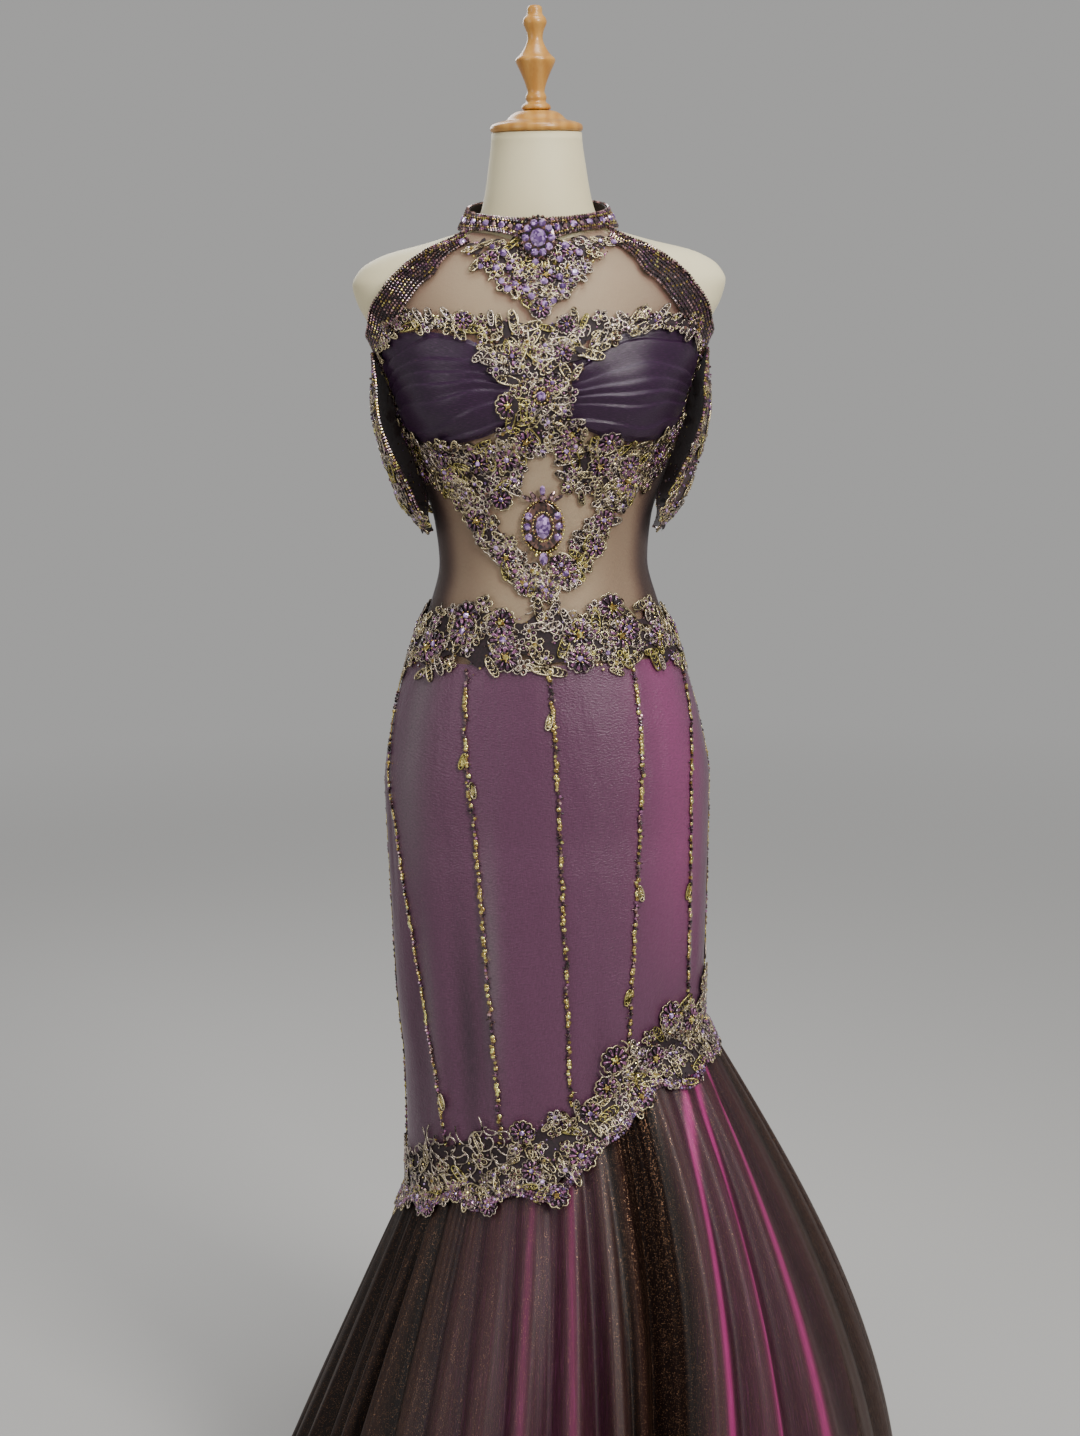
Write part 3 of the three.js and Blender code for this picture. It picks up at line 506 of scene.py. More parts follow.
def cord(name, low, high):
    s = Shade(name, 0.27, 0.92)
    twist = s.wave(700, s.place(), 3.0, "DIAGONAL")
    # Darker stretches along the cord, in the low colour, are painted shade in its twist.
    s.colour(s.ramp(s.noise(170, 4), [(0.34, low), (0.6, high)]))
    s.bump(twist, 0.35, 0.0003)
    return s.m


def crystal(name, low, high, roughness=0.08, metallic=0.35):
    s = Shade(name, roughness, metallic).set(Coat_Weight=1.0, Coat_Roughness=0.03, Specular_IOR_Level=0.9)
    # Each cell takes its own colour from low to high; the brightest cells, at twice the high colour, are
    # painted glints.
    painted_glint = tuple(min(1, 2 * c) for c in high[:3])
    s.colour(s.ramp(s.cells(330, "Green"), [(0.25, low), (0.7, high), (0.95, painted_glint)]))
    return s.m


# Dark net for the collar and halter bands and under the lace, where it is partly painted shade.
def backing_and_shade_net():
    s = Shade("bead_backing_and_shade", 0.7)
    s.colour(s.ramp(s.noise(300), [(0.3, srgb(20, 10, 15)), (0.7, srgb(44, 24, 32))]))
    s.bump(s.noise(900), 0.5, 0.0006)
    return s.m


IVORY, BEECH, STEEL = ivory_skin(), beech(), powder_coat()
NET = net_cloth("taupe_net", srgb(134, 86, 78), srgb(46, 14, 22), 0.43)
SLEEVE_NET = net_cloth("sleeve_net", srgb(62, 28, 34), srgb(34, 14, 20), 1.0)
CUPS, SATIN, LINING, ORGANZA = cup_satin(), satin_with_painted_sheen(), lining_satin(), glitter_organza()
BACKING_AND_SHADE = backing_and_shade_net()
GOLD = cord("gold_cord", srgb(58, 44, 34), srgb(230, 214, 172))
PEWTER = cord("pewter_cord", srgb(38, 28, 32), srgb(216, 200, 182))
LEAF_GOLD = cord("leaf_gold", srgb(70, 60, 28), srgb(214, 200, 124))
PURPLE = crystal("purple_crystal", srgb(38, 16, 34), srgb(122, 72, 108))
LILAC = crystal("lilac_stone", srgb(84, 50, 112), srgb(168, 134, 192), 0.03, 0.25)
BRONZE = crystal("bronze_bead", srgb(34, 20, 20), srgb(104, 72, 62), 0.12, 0.65)
GILT = crystal("gilt_bead", srgb(150, 120, 50), srgb(222, 196, 110), 0.14, 0.8)
ROSE = crystal("rose_crystal", srgb(60, 38, 44), srgb(168, 130, 132), 0.05, 0.6)
SMALL = [GOLD, PEWTER, LEAF_GOLD, PURPLE, LILAC, BRONZE, GILT, ROSE, BACKING_AND_SHADE]
gold, pewter, leaf_gold, purple, lilac, bronze, gilt, rose, backing_and_shade = range(len(SMALL))


# Meshes


def make_object(name, verts, faces, materials, replaces=(), slots=None, flat=None):
    """verts in millimetres, faces an (N, 3) or (N, 4) array or a list of such."""
    faces = faces if isinstance(faces, list) else [faces]
    sizes = np.concatenate([np.full(len(f), f.shape[1]) for f in faces])
    loops = np.concatenate([f.ravel() for f in faces]).astype(np.int32)
    mesh = bpy.data.meshes.new(name)
    mesh.vertices.add(len(verts))
    mesh.vertices.foreach_set("co", (np.asarray(verts, float) * MM).astype(np.float32).ravel())
    mesh.loops.add(len(loops))
    mesh.loops.foreach_set("vertex_index", loops)
    mesh.polygons.add(len(sizes))
    starts = np.concatenate([[0], np.cumsum(sizes)[:-1]]).astype(np.int32)
    mesh.polygons.foreach_set("loop_start", starts)
    mesh.polygons.foreach_set("loop_total", sizes.astype(np.int32))
    if slots is not None:
        mesh.polygons.foreach_set("material_index", slots.astype(np.int32))
    mesh.polygons.foreach_set("use_smooth", np.ones(len(sizes), bool) if flat is None else ~flat)
    mesh.update(calc_edges=True)
    mesh.validate()
    for m in materials:
        mesh.materials.append(m)
    obj = bpy.data.objects.new(name, mesh)
    bpy.context.scene.collection.objects.link(obj)
    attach(obj, "root")
    if replaces:
        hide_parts(*replaces)
    return obj


def grid_faces(nu, nv, closed=False):
    i, j = grid(np.arange(nu if closed else nu - 1), np.arange(nv - 1))
    k = (i + 1) % nu
    return np.stack([i * nv + j, k * nv + j, k * nv + j + 1, i * nv + j + 1], -1).reshape(-1, 4)


def cloth(name, points, material, replaces, closed=False, tints=None):
    """A thin shell over a grid of points (columns, rows, 3), with a UV map in metres of cloth."""
    nu, nv = points.shape[:2]
    faces = grid_faces(nu, nv, closed)
    obj = make_object(name, points.reshape(-1, 3), faces, [material], replaces)
    mesh = obj.data
    u = run_along(points[:, nv // 2])
    if closed:
        u = np.append(u, u[-1] + np.linalg.norm(points[0, nv // 2] - points[-1, nv // 2]))
    along = np.linalg.norm(np.diff(points, axis=1), axis=-1).mean(0)
    v = np.concatenate([[0], np.cumsum(along)])
    i, j = faces // nv, faces % nv
    wraps = closed & (i == 0) & (faces[:, :1] // nv == nu - 1)
    uv = np.stack([np.where(wraps, u[-1], u[i]), v[j]], -1) * MM
    layer = mesh.uv_layers.new(name="cloth")
    layer.data.foreach_set("uv", uv.reshape(-1, 2).astype(np.float32).ravel())
    for key, values in (tints or {}).items():
        kind, field = "FLOAT", "value"
        if values.ndim == 3:
            kind, field = "FLOAT_COLOR", "color"
            values = np.concatenate([values, np.ones((nu, nv, 1))], -1)
        layer = mesh.attributes.new(key, kind, "POINT")
        layer.data.foreach_set(field, values.astype(np.float32).ravel())
    return obj


class Pile:
    """Collects many small pieces and makes one mesh of them."""

    def __init__(self):
        self.verts, self.faces, self.slots, self.flats, self.count = [], [], [], [], 0

    def add(self, verts, faces, slot, flat=False):
        """verts (N, V, 3) copies, faces (F, K) of one copy."""
        n, per = verts.shape[:2]
        if n == 0:
            return
        starts = self.count + per * np.arange(n)
        all_faces = (faces[None] + starts[:, None, None]).reshape(-1, faces.shape[1])
        self.verts.append(verts.reshape(-1, 3))
        self.count += n * per
        self.faces.append(all_faces)
        self.slots.append(np.full(len(all_faces), slot))
        self.flats.append(np.full(len(all_faces), flat))

    def make(self, name, replaces=()):
        make_object(name, np.concatenate(self.verts), self.faces, SMALL, replaces,
                    np.concatenate(self.slots), np.concatenate(self.flats))


def ball(rings=4, sides=6):
    """A small smooth bead."""
    verts = [(0, 0, -1)]
    for r in range(1, rings):
        up = -math.cos(math.pi * r / rings)
        out = math.sin(math.pi * r / rings)
        verts += [(out * math.cos(2 * math.pi * k / sides), out * math.sin(2 * math.pi * k / sides), up)
                  for k in range(sides)]
    verts.append((0, 0, 1))
    faces = []
    last = len(verts) - 1
    for k in range(sides):
        n = (k + 1) % sides
        faces.append((0, 1 + n, 1 + k))
        for r in range(rings - 2):
            a = 1 + r * sides
            faces += [(a + k, a + n, a + sides + n), (a + k, a + sides + n, a + sides + k)]
        top = 1 + (rings - 2) * sides
        faces.append((top + k, top + n, last))
    return np.array(verts, float), np.array(faces)


def gem(sides=8, table=0.55, height=0.62, belly=0.15):
    """A cut stone: flat table, crown facets and a plain back."""
    def ring(radius, z, shift=0.0):
        angles = 2 * np.pi * np.arange(sides) / sides + shift
        return np.stack([radius * np.cos(angles), radius * np.sin(angles), np.full(sides, z)], -1)

    crown = ring(table, height, math.pi / sides)
    verts = np.concatenate([[(0, 0, 0)], ring(0.9, 0.0), ring(1, belly), crown, [(0, 0, height)]])
    faces = []
    for k in range(sides):
        n = (k + 1) % sides
        a, b, c = 1, 1 + sides, 1 + 2 * sides
        faces += [(0, a + n, a + k), (a + k, a + n, b + n), (a + k, b + n, b + k), (b + k, b + n, c + k),
                  (b + n, c + n, c + k), (c + k, c + n, len(verts) - 1)]
    return verts, np.array(faces)


def rod(sides):
    """A bugle bead along +X, from 0 to 1."""
    def ring(x, radius):
        angles = 2 * np.pi * np.arange(sides) / sides
        return np.stack([np.full(sides, x), radius * np.cos(angles), radius * np.sin(angles)], -1)

    verts = np.concatenate([ring(0, 0.7), ring(0.08, 1), ring(0.92, 1), ring(1, 0.7)])
    faces = []
    for r in range(3):
        for k in range(sides):
            n = (k + 1) % sides
            faces.append((r * sides + k, (r + 1) * sides + k, (r + 1) * sides + n, r * sides + n))
    return verts, np.array(faces)


BALL, GEM, ROD = ball(), gem(), rod(4)
CRYSTAL = ball(3, 5)
DISC = ball(3, 8)


class Ground:
    """A surface to sew on: turns flat places in millimetres round an anchor into places in space."""

    def __init__(self, surface, height):
        """height off the surface is a number, or a function of angle and z."""
        self.surface, self.off = surface, height

    def height(self, angle, z):
        return self.off(angle, z) if callable(self.off) else np.full(np.shape(angle), float(self.off))

    def spread(self, angle, z, s, t):
        step = 0.25
        angle, z = np.asarray(angle, float), np.asarray(z, float)
        here = self.surface(angle + step, z) - self.surface(angle - step, z)
        per_degree = np.linalg.norm(here, axis=-1) / (2 * step)
        up = self.surface(angle, z + 1.0) - self.surface(angle, z - 1.0)
        per_level = np.linalg.norm(up, axis=-1) / 2
        return angle + s / per_degree, z + t / per_level

    def frame(self, angle, z, raised=0.0):
        """Point, and tangents across and up, and the normal, at angles and heights."""
        angle, z = np.broadcast_arrays(np.asarray(angle, float), np.asarray(z, float))
        n = normal_of(self.surface, angle, z)
        point = self.surface(angle, z) + n * (self.height(angle, z) + raised)[..., None]
        across = self.surface(angle + 0.25, z) - self.surface(angle - 0.25, z)
        across -= (across * n).sum(-1, keepdims=True) * n
        across /= np.linalg.norm(across, axis=-1, keepdims=True)
        return point, across, np.cross(n, across), n


def put(pile, ground, shape, angle, z, size, slot, spin=None, raised=0.0, flat=False):
    """Copies of a shape at places on a ground; size is (N,), (N, 3) or a number."""
    angle, z = np.atleast_1d(angle).astype(float), np.atleast_1d(z).astype(float)
    verts, faces = shape
    point, across, up, n = ground.frame(angle, z, np.broadcast_to(raised, angle.shape))
    size = np.asarray(size, float)
    if size.ndim == 0:
        size = np.full((len(angle), 3), float(size))
    elif size.ndim == 1 and size.shape[0] == 3 and len(angle) != 3:
        size = np.tile(size, (len(angle), 1))
    elif size.ndim == 1:
        size = np.repeat(size[:, None], 3, 1)
    if spin is not None:
        c, s = np.cos(spin)[..., None], np.sin(spin)[..., None]
        c, s = np.broadcast_to(c, across.shape), np.broadcast_to(s, across.shape)
        across, up = across * c + up * s, up * c - across * s
    local = verts[None] * size[:, None, :]
    world = (point[:, None] + local[..., :1] * across[:, None] + local[..., 1:2] * up[:, None]
             + local[..., 2:] * n[:, None])
    pile.add(world, faces, slot, flat)


def cords(pile, ground, angle, z, s, t, radius, slot, raised=0.0, sides=4, closed=False):
    """Cords along flat paths (N, M) round N anchors."""
    angle, z = np.asarray(angle, float)[:, None], np.asarray(z, float)[:, None]
    a, h = ground.spread(angle, z, s, t)
    points, _, _, normals = ground.frame(a, h, np.full(a.shape, raised))
    tube(pile, points, normals, radius, slot, sides, closed)


def tube(pile, points, normals, radius, slot, sides=4, closed=False):
    n, m = points.shape[:2]
    if closed:
        along = np.roll(points, -1, 1) - np.roll(points, 1, 1)
    else:
        along = np.gradient(points, axis=1)
    along /= np.linalg.norm(along, axis=-1, keepdims=True) + 1e-9
    side = np.cross(along, normals)
    side /= np.linalg.norm(side, axis=-1, keepdims=True) + 1e-9
    turns = 2 * np.pi * (np.arange(sides) + 0.5) / sides
    ring = points[:, :, None] + radius * (np.cos(turns)[None, None, :, None] * normals[:, :, None]
                                          + np.sin(turns)[None, None, :, None] * side[:, :, None])
    verts = ring.reshape(n, m * sides, 3)
    spans = m if closed else m - 1
    i, j = grid(np.arange(spans), np.arange(sides))
    i2, j2 = (i + 1) % m, (j + 1) % sides
    faces = np.stack([i * sides + j, i * sides + j2, i2 * sides + j2, i2 * sides + j], -1).reshape(-1, 4)
    pile.add(verts, faces, slot)


# Lace motifs: each is sewn at anchors on a ground


def ring_of(count, across, up):
    """Places round an oval, by half its width and half its height."""
    around = np.linspace(0, 2 * np.pi, count, endpoint=False)
    return across * np.cos(around), up * np.sin(around)


def spin_flat(s, t, turns):
    c, k = np.cos(turns), np.sin(turns)
    return s * c - t * k, s * k + t * c


CORD = 0.95
CORNERS = [(math.cos(k * math.pi / 5), math.sin(k * math.pi / 5), 0) for k in range(10)]
PATCH = np.array([(0, 0, 0)] + CORNERS), np.array([(0, 1 + k, 1 + (k + 1) % 10) for k in range(10)])


def any_turn(rng, places):
    return rng.uniform(0, 6.28, len(places))


def patch(pile, ground, angle, z, length, width, turns=None):
    """A scrap of dark net under a motif: partly the net it is sewn to, partly painted shade under the motif.
    """
    size = np.stack([length, width, np.ones(len(angle))], 1)
    put(pile, ground, PATCH, angle, z, size, backing_and_shade, turns, 0.5)


def daisy(pile, ground, angle, z, size, rng):
    """A flower with petals of bugle beads, a loop of cord round each and a stone at its heart."""
    petals = 10
    patch(pile, ground, angle, z, 0.9 * size, 0.9 * size)
    for a, h, r in zip(angle, z, size):
        turns = rng.uniform(0, 2 * np.pi) + 2 * np.pi * np.arange(petals) / petals
        aa, hh = ground.spread(a, h, 0.34 * r * np.cos(turns), 0.34 * r * np.sin(turns))
        for lean in (-0.13, 0.13):
            long = np.tile([0.5 * r, 0.07 * r, 0.07 * r], (petals, 1))
            put(pile, ground, ROD, aa, hh, long, purple, turns + lean, 2.0)
        loop = np.linspace(-0.5, 0.5, 7)
        reach = 0.84 * r + 0.16 * r * np.cos(np.pi * loop)
        around = turns[:, None] + loop[None] * 2 * np.pi / petals
        cords(pile, ground, np.full(petals, a), np.full(petals, h), reach * np.cos(around),
              reach * np.sin(around), 0.9, rng.choice([pewter, gold]), 1.3, 3)
        put(pile, ground, GEM, [a], [h], [0.22 * r], rng.choice([lilac, lilac, gilt]), None, 2.4, True)
        ring_a, ring_h = ground.spread(a, h, 0.29 * r * np.cos(turns[::2]), 0.29 * r * np.sin(turns[::2]))
        put(pile, ground, CRYSTAL, ring_a, ring_h, 0.085 * r, gilt, None, 2.8)


def loop_flower(pile, ground, angle, z, size, rng):
    """Five petals of looped cord with a bead in each and one at the heart."""
    petals = 5
    phase = np.linspace(0, 2 * np.pi, 9)[:-1]
    patch(pile, ground, angle, z, 0.85 * size, 0.85 * size)
    for a, h, r in zip(angle, z, size):
        turns = rng.uniform(0, 2 * np.pi) + 2 * np.pi * np.arange(petals) / petals
        s = 0.62 * r + 0.4 * r * np.cos(phase)
        t = 0.32 * r * np.sin(phase)
        ss, tt = spin_flat(s[None], t[None], turns[:, None])
        cords(pile, ground, np.full(petals, a), np.full(petals, h), ss, tt, CORD,
              rng.choice([gold, pewter]), 1.2, closed=True)
        pa, ph = ground.spread(a, h, 0.66 * r * np.cos(turns), 0.66 * r * np.sin(turns))
        put(pile, ground, CRYSTAL, pa, ph, 0.15 * r, rng.choice([purple, bronze, purple]), None, 1.4)
        stone = rng.choice([lilac, purple, gilt, bronze])
        put(pile, ground, GEM, [a], [h], [0.26 * r], stone, None, 1.6, True)


def leaf(pile, ground, angle, z, size, turns, rng):
    """A leaf of cord: an outline and slanting ribs that meet along its middle."""
    t = np.linspace(0, np.pi, 9)
    patch(pile, ground, angle, z, 0.9 * size, 0.3 * size, turns)
    for a, h, r, spin in zip(angle, z, size, turns):
        width = 0.36 * r * np.sin(t) ** 0.8
        x = -r * np.cos(t)
        s = np.concatenate([x, x[-2:0:-1]])
        w = np.concatenate([width, -width[-2:0:-1]])
        s, w = spin_flat(s, w, spin)
        slot = rng.choice([gold, gold, pewter, leaf_gold])
        cords(pile, ground, [a], [h], s[None], w[None], CORD, slot, 1.4, closed=True)
        along = np.linspace(-0.6, 0.6, 4) * r
        reach = 0.3 * r * np.sqrt(np.maximum(0, 1 - (along / r) ** 2))
        rib_s = np.stack([along - 0.12 * r, along + 0.1 * r, along - 0.12 * r], 1)
        rib_t = np.stack([reach, 0 * reach, -reach], 1)
        rib_s, rib_t = spin_flat(rib_s, rib_t, spin)
        cords(pile, ground, np.full(4, a), np.full(4, h), rib_s, rib_t, 0.75, slot, 1.0, 3)


def scroll(pile, ground, angle, z, size, turns, flips, rng, slot=None):
    """A stem of cord that ends in a curl."""
    p = np.linspace(0, 1, 14)
    for a, h, r, spin, flip in zip(angle, z, size, turns, flips):
        bend = 4.8 * p**1.6
        step = r * 0.18
        s = np.cumsum(step * np.cos(bend) * (1.15 - p))
        t = np.cumsum(step * np.sin(bend) * (1.15 - p)) * flip
        s, t = spin_flat(s - s.mean(), t - t.mean(), spin)
        kind = rng.choice([gold, pewter]) if slot is None else slot
        cords(pile, ground, [a], [h], s[None], t[None], CORD, kind, 1.3)


def crumbs(pile, ground, angle, z, rng, size=(0.9, 1.7), mixture=(purple, bronze, gilt, rose, lilac)):
    """Loose small beads in mixed colours."""
    pick = rng.integers(0, len(mixture), len(angle))
    sizes = rng.uniform(*size, len(angle))
    for k, slot in enumerate(mixture):
        own = pick == k
        put(pile, ground, CRYSTAL, angle[own], z[own], sizes[own], slot, None, 0.9, True)


def ground_net(pile, zone, steps=90, reach=0.8, seed=0.0):
    """The dark net that a lace zone is worked on, with a wandering edge; it also stands for painted shade in
    the gaps of the lace.
    """
    a = np.linspace(0.01, 0.99, steps)
    edge = 0.84 + 0.1 * np.sin(37 * a + seed) + 0.06 * np.sin(91 * a + 2 * seed)
    b = np.linspace(-1, 1, 6)[None] * edge[:, None] * reach
    angle, z = zone.places(np.repeat(a[:, None], 6, 1), b)
    point, _, _, _ = zone.ground.frame(angle, z, np.full(angle.shape, 0.2))
    pile.add(point.reshape(1, -1, 3), grid_faces(steps, 6), backing_and_shade)


class Zone:
    """A patch of lace: places(along, across) gives angles and heights, along 0 to 1 and across -1 to 1."""

    def __init__(self, places, ground):
        self.places, self.ground = places, ground

    def scatter(self, count, gap, rng, along=(0, 1), across=(-1, 1), taken=None):
        kept, kept_at = [], list(taken or [])
        for _ in range(count * 14):
            if len(kept) >= count:
                break
            a, b = rng.uniform(*along), rng.uniform(*across)
            angle, z = self.places(a, b)
            point = self.ground.surface(np.array(float(angle)), np.array(float(z)))
            if kept_at and (np.linalg.norm(np.array(kept_at) - point, axis=1) < gap).any():
                continue
            kept.append((float(angle), float(z)))
            kept_at.append(tuple(point))
        places = np.array(kept).reshape(-1, 2)
        return places[:, 0], places[:, 1], kept_at

    def line(self, across, spacing):
        """Places along the zone at one share across, at even spacing."""
        a = np.linspace(0, 1, 400)
        angle, z = self.places(a, np.full(400, across))
        run = run_along(self.ground.surface(angle, z))
        at = np.interp(np.arange(0, run[-1], spacing), run, a)
        return self.places(at, np.full(len(at), across))


def fill_lace(pile, zone, rng, big=0, medium=0, leaves=0, scrolls=0, beads=0, big_size=(13, 16),
              medium_size=(7, 10), **where):
    """Sews flowers, leaves, scrolls and loose beads into a zone, or the part of it that where names."""
    ground = zone.ground
    if not where:
        ground_net(pile, zone, seed=float(rng.uniform(0, 6)))
    angle, z, taken = zone.scatter(big, 27, rng, **where)
    daisy(pile, ground, angle, z, rng.uniform(*big_size, len(angle)), rng)
    angle, z, taken = zone.scatter(medium, 13.5, rng, taken=taken, **where)
    loop_flower(pile, ground, angle, z, rng.uniform(*medium_size, len(angle)), rng)
    angle, z, _ = zone.scatter(leaves, 9, rng, taken=taken, **where)
    leaf(pile, ground, angle, z, rng.uniform(7.5, 12.5, len(angle)), any_turn(rng, angle), rng)
    angle, z, _ = zone.scatter(scrolls, 8, rng, **where)
    scroll(pile, ground, angle, z, rng.uniform(8, 15, len(angle)), any_turn(rng, angle),
           rng.choice([-1, 1], len(angle)), rng)
    a = rng.uniform(*where.get("along", (0, 1)), beads)
    b = rng.uniform(*where.get("across", (-1, 1)), beads)
    angle, z = zone.places(a, b)
    crumbs(pile, ground, angle, z, rng)


def edge_beads(pile, zone, across, rng, spacing, size, mixture):
    angle, z = zone.line(across, spacing)
    crumbs(pile, zone.ground, angle, z, rng, (size * 0.8, size * 1.15), mixture)


# The dress form and its stand


def lathe(name, profile, material, node, columns=64):
    profile = np.array(profile, float)
    angle = np.linspace(0, 2 * np.pi, columns, endpoint=False)
    r, z = profile[:, 0], profile[:, 1]
    points = np.stack([r[None] * np.cos(angle)[:, None], r[None] * np.sin(angle)[:, None],
                       np.broadcast_to(z, (columns, len(z)))], -1)
    make_object(name, points.reshape(-1, 3), grid_faces(columns, len(z), True), [material], [node])


def rounded(points):
    """A profile with its corners softened."""
    points = np.array(points, float)
    for _ in range(2):
        a, b = points[:-1], points[1:]
        cut = np.empty((2 * len(a), 2))
        cut[0::2] = mix(a, b, 0.22)
        cut[1::2] = mix(a, b, 0.78)
        points = np.concatenate([points[:1], cut, points[-1:]])
    return points


def make_form():
    z = np.concatenate([np.linspace(FORM_LOW, 1330, 46), np.linspace(1338, 1480, 50),
                        np.linspace(1488, FORM_TOP, 8)])
    aa, zz = grid(np.arange(0, 360, 4), z)
    inset = FORM_INSET["depth"] * bell(zz - FORM_INSET["height"], FORM_INSET["tall"])
    points = body(aa, zz) + outward(aa, -inset)
    nu, nv = aa.shape
    verts = np.concatenate([points.reshape(-1, 3), [(0, 0, FORM_LOW), (0, 0, FORM_TOP)]])
    k = np.arange(nu)
    n = (k + 1) % nu
    caps = np.concatenate([
        np.stack([np.full(nu, nu * nv), n * nv, k * nv], -1),
        np.stack([np.full(nu, nu * nv + 1), k * nv + nv - 1, n * nv + nv - 1], -1),
    ])
    make_object("form_skin", verts, [grid_faces(nu, nv, True), caps], [IVORY], ["form_torso"])
    foot = FORM_TOP + 0.3
    cap = [(0, foot), (45, foot), (47.5, foot + 3), (46.5, foot + 8), (38.5, foot + 11), (31, foot + 12),
           (25.7, foot + 18), (18, foot + 22), (0, foot + 22)]
    lathe("turned_cap", rounded(cap), BEECH, "neck_cap")
    start = foot + 22.3
    finial = [(0, start), (15.5, start), (14.5, start + 5), (9.5, start + 8), (10.9, start + 12),
              (10.2, start + 15), (8.5, start + 18), (10.5, start + 26), (15, start + 37), (20.4, start + 48),
              (20.0, start + 51), (15, start + 55), (10, start + 63), (7.4, start + 70), (8.6, start + 78),
              (12.6, start + 86), (11, start + 91), (7.6, start + 94), (7.6, start + 101), (5, start + 103.2),
              (0, start + 103.4)]
    lathe("turned_finial", rounded(finial), BEECH, "finial")
    for node in ("stand_base", "stand_pole"):
        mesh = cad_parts[node].data
        for slot in range(max(1, len(mesh.materials))):
            if mesh.materials:
                mesh.materials[slot] = STEEL
            else:
                mesh.materials.append(STEEL)


# Net bodice, cups and drop sleeves


def collar_low(angle):
    """The collar's lower edge rests on the shoulders, so it is lifted where they would meet it."""
    angle = np.asarray(angle, float)
    low = COLLAR_LOW
    edge = ellipse(angle, 0.0, low["half"], low["front"], low["back"])
    z = low["height"] - low["tilt"] * np.cos(angle * DEG)
    for _ in range(60):
        half = form_half(z) + COLLAR_SEAT
        depth = np.where(edge[..., 1] < 0, form_front(z), form_back(z)) + COLLAR_SEAT
        inside = np.hypot(edge[..., 0] / half, edge[..., 1] / depth) < 1
        z = z + 0.5 * inside
    return z


def collar_top(angle):
    return COLLAR_TOP["height"] - COLLAR_TOP["tilt"] * np.cos(np.asarray(angle) * DEG)


def collar_point(angle, share, height=0.0):
    z = mix(collar_low(angle), collar_top(angle), share)
    half, front, back = (mix(COLLAR_LOW[k], COLLAR_TOP[k], share) for k in ("half", "front", "back"))
    return ellipse(angle, z, half, front, back, height)


net_edge = curve(NET_EDGE, 1)


def side_shadow(angle):
    """The net's side panels are darker and denser, with painted shade at the sides of the body as well."""
    off = np.abs(turn(0, angle))
    return (0.35 * smooth(16, 46, off) + 0.65 * smooth(50, 68, off)) * (1 - 0.35 * smooth(95, 120, off))


def make_bodice():
    uu, vv = grid(np.linspace(-1, 1, 91), np.linspace(0, 1, 90))
    angle = uu * (net_edge(mix(NET_LOW, NET_TOP, vv)) - 0.1)
    top = collar_low(angle) - 3.0
    z = mix(NET_LOW, mix(NET_TOP, top, smooth(0.86, 1.0, vv)), vv)
    ruck = 0.5 * np.sin(z / 3.1 + 1.4 * np.sin(angle / 9)) * bell(z - 1385, 26)
    points = lift(body, angle, z, NET_HEIGHT + 0.4 + ruck)
    front = cloth("bodice_front_net", points, NET, ["bodice_front"],
                  tints={"shadow": side_shadow(angle)})
    for name, side in (("left", -1), ("right", 1)):
        uu, vv = grid(np.linspace(0, 1, 60), np.linspace(0, 1, 80))
        angle = side * mix(90.1, 179.9, uu)
        top = mix(BACK_TOP["side"], BACK_TOP["middle"], np.sin(uu * np.pi / 2))
        z = mix(NET_LOW, top, vv)
        back = cloth(f"bodice_back_{name}_net", lift(body, angle, z, NET_HEIGHT), NET,
                     [f"bodice_back_{name}"], tints={"shadow": side_shadow(angle)})


cup_low, cup_high = curve(CUP_EDGES, 1), curve(CUP_EDGES, 2)


def make_cups():
    for name, side, drift, seed in (("left", -1, 2.6, 0.4), ("right", 1, 0.3, 1.9)):
        uu, vv = grid(np.linspace(0, 1, 70), np.linspace(0, 1, 99))
        angle = side * mix(CUP["inner"], CUP["outer"], uu)
        z = mix(cup_low(uu), cup_high(uu), vv)
        wander = drift * (uu - 0.3) + 0.22 * np.sin(5 * uu + seed) + 0.14 * np.sin(11 * uu + 7 * vv + seed)
        phase = CUP["pleats"] * (vv + 0.12 * wander) + 0.35 * np.sin(3 * vv * np.pi + seed)
        rest = phase % 1
        fold = smooth(0, 0.8, rest) * (1 - smooth(0.88, 1, rest))
        uneven = 0.75 + 0.25 * np.sin(2.3 * np.floor(phase) + 3 * uu + seed)
        crumple = 0.5 * np.sin(17 * uu + 9 * vv + seed) * np.sin(7 * vv - 5 * uu)
        crumple = crumple + 0.5 * np.sin(30 * uu) * bell(uu, 0.15)
        edge = np.minimum(1, np.minimum(vv, 1 - vv) / 0.05)
        edge = edge * np.minimum(1, np.minimum(uu + 0.02, 1 - uu) / 0.04)
        height = CUP_HEIGHT - 0.9 + edge * (0.6 + CUP["rise"] * fold * uneven + crumple)
        cup = cloth(f"cup_{name}_satin", lift(body, angle, z, height), CUPS, [f"cup_{name}"])


def sleeve_surface(side):
    rows = np.column_stack([np.arange(len(SLEEVE_ROWS)), SLEEVE_ROWS])
    z_at, front_at, back_at, off_at = (curve(rows, k) for k in (1, 2, 3, 4))
    last = len(SLEEVE_ROWS) - 1

    def places(across, up):
        """across 0 to 1 from the front edge to the back edge, up 0 to 1 from the tip."""
        along = up * last
        return side * mix(front_at(along), back_at(along), across), z_at(along), off_at(along)

    return places


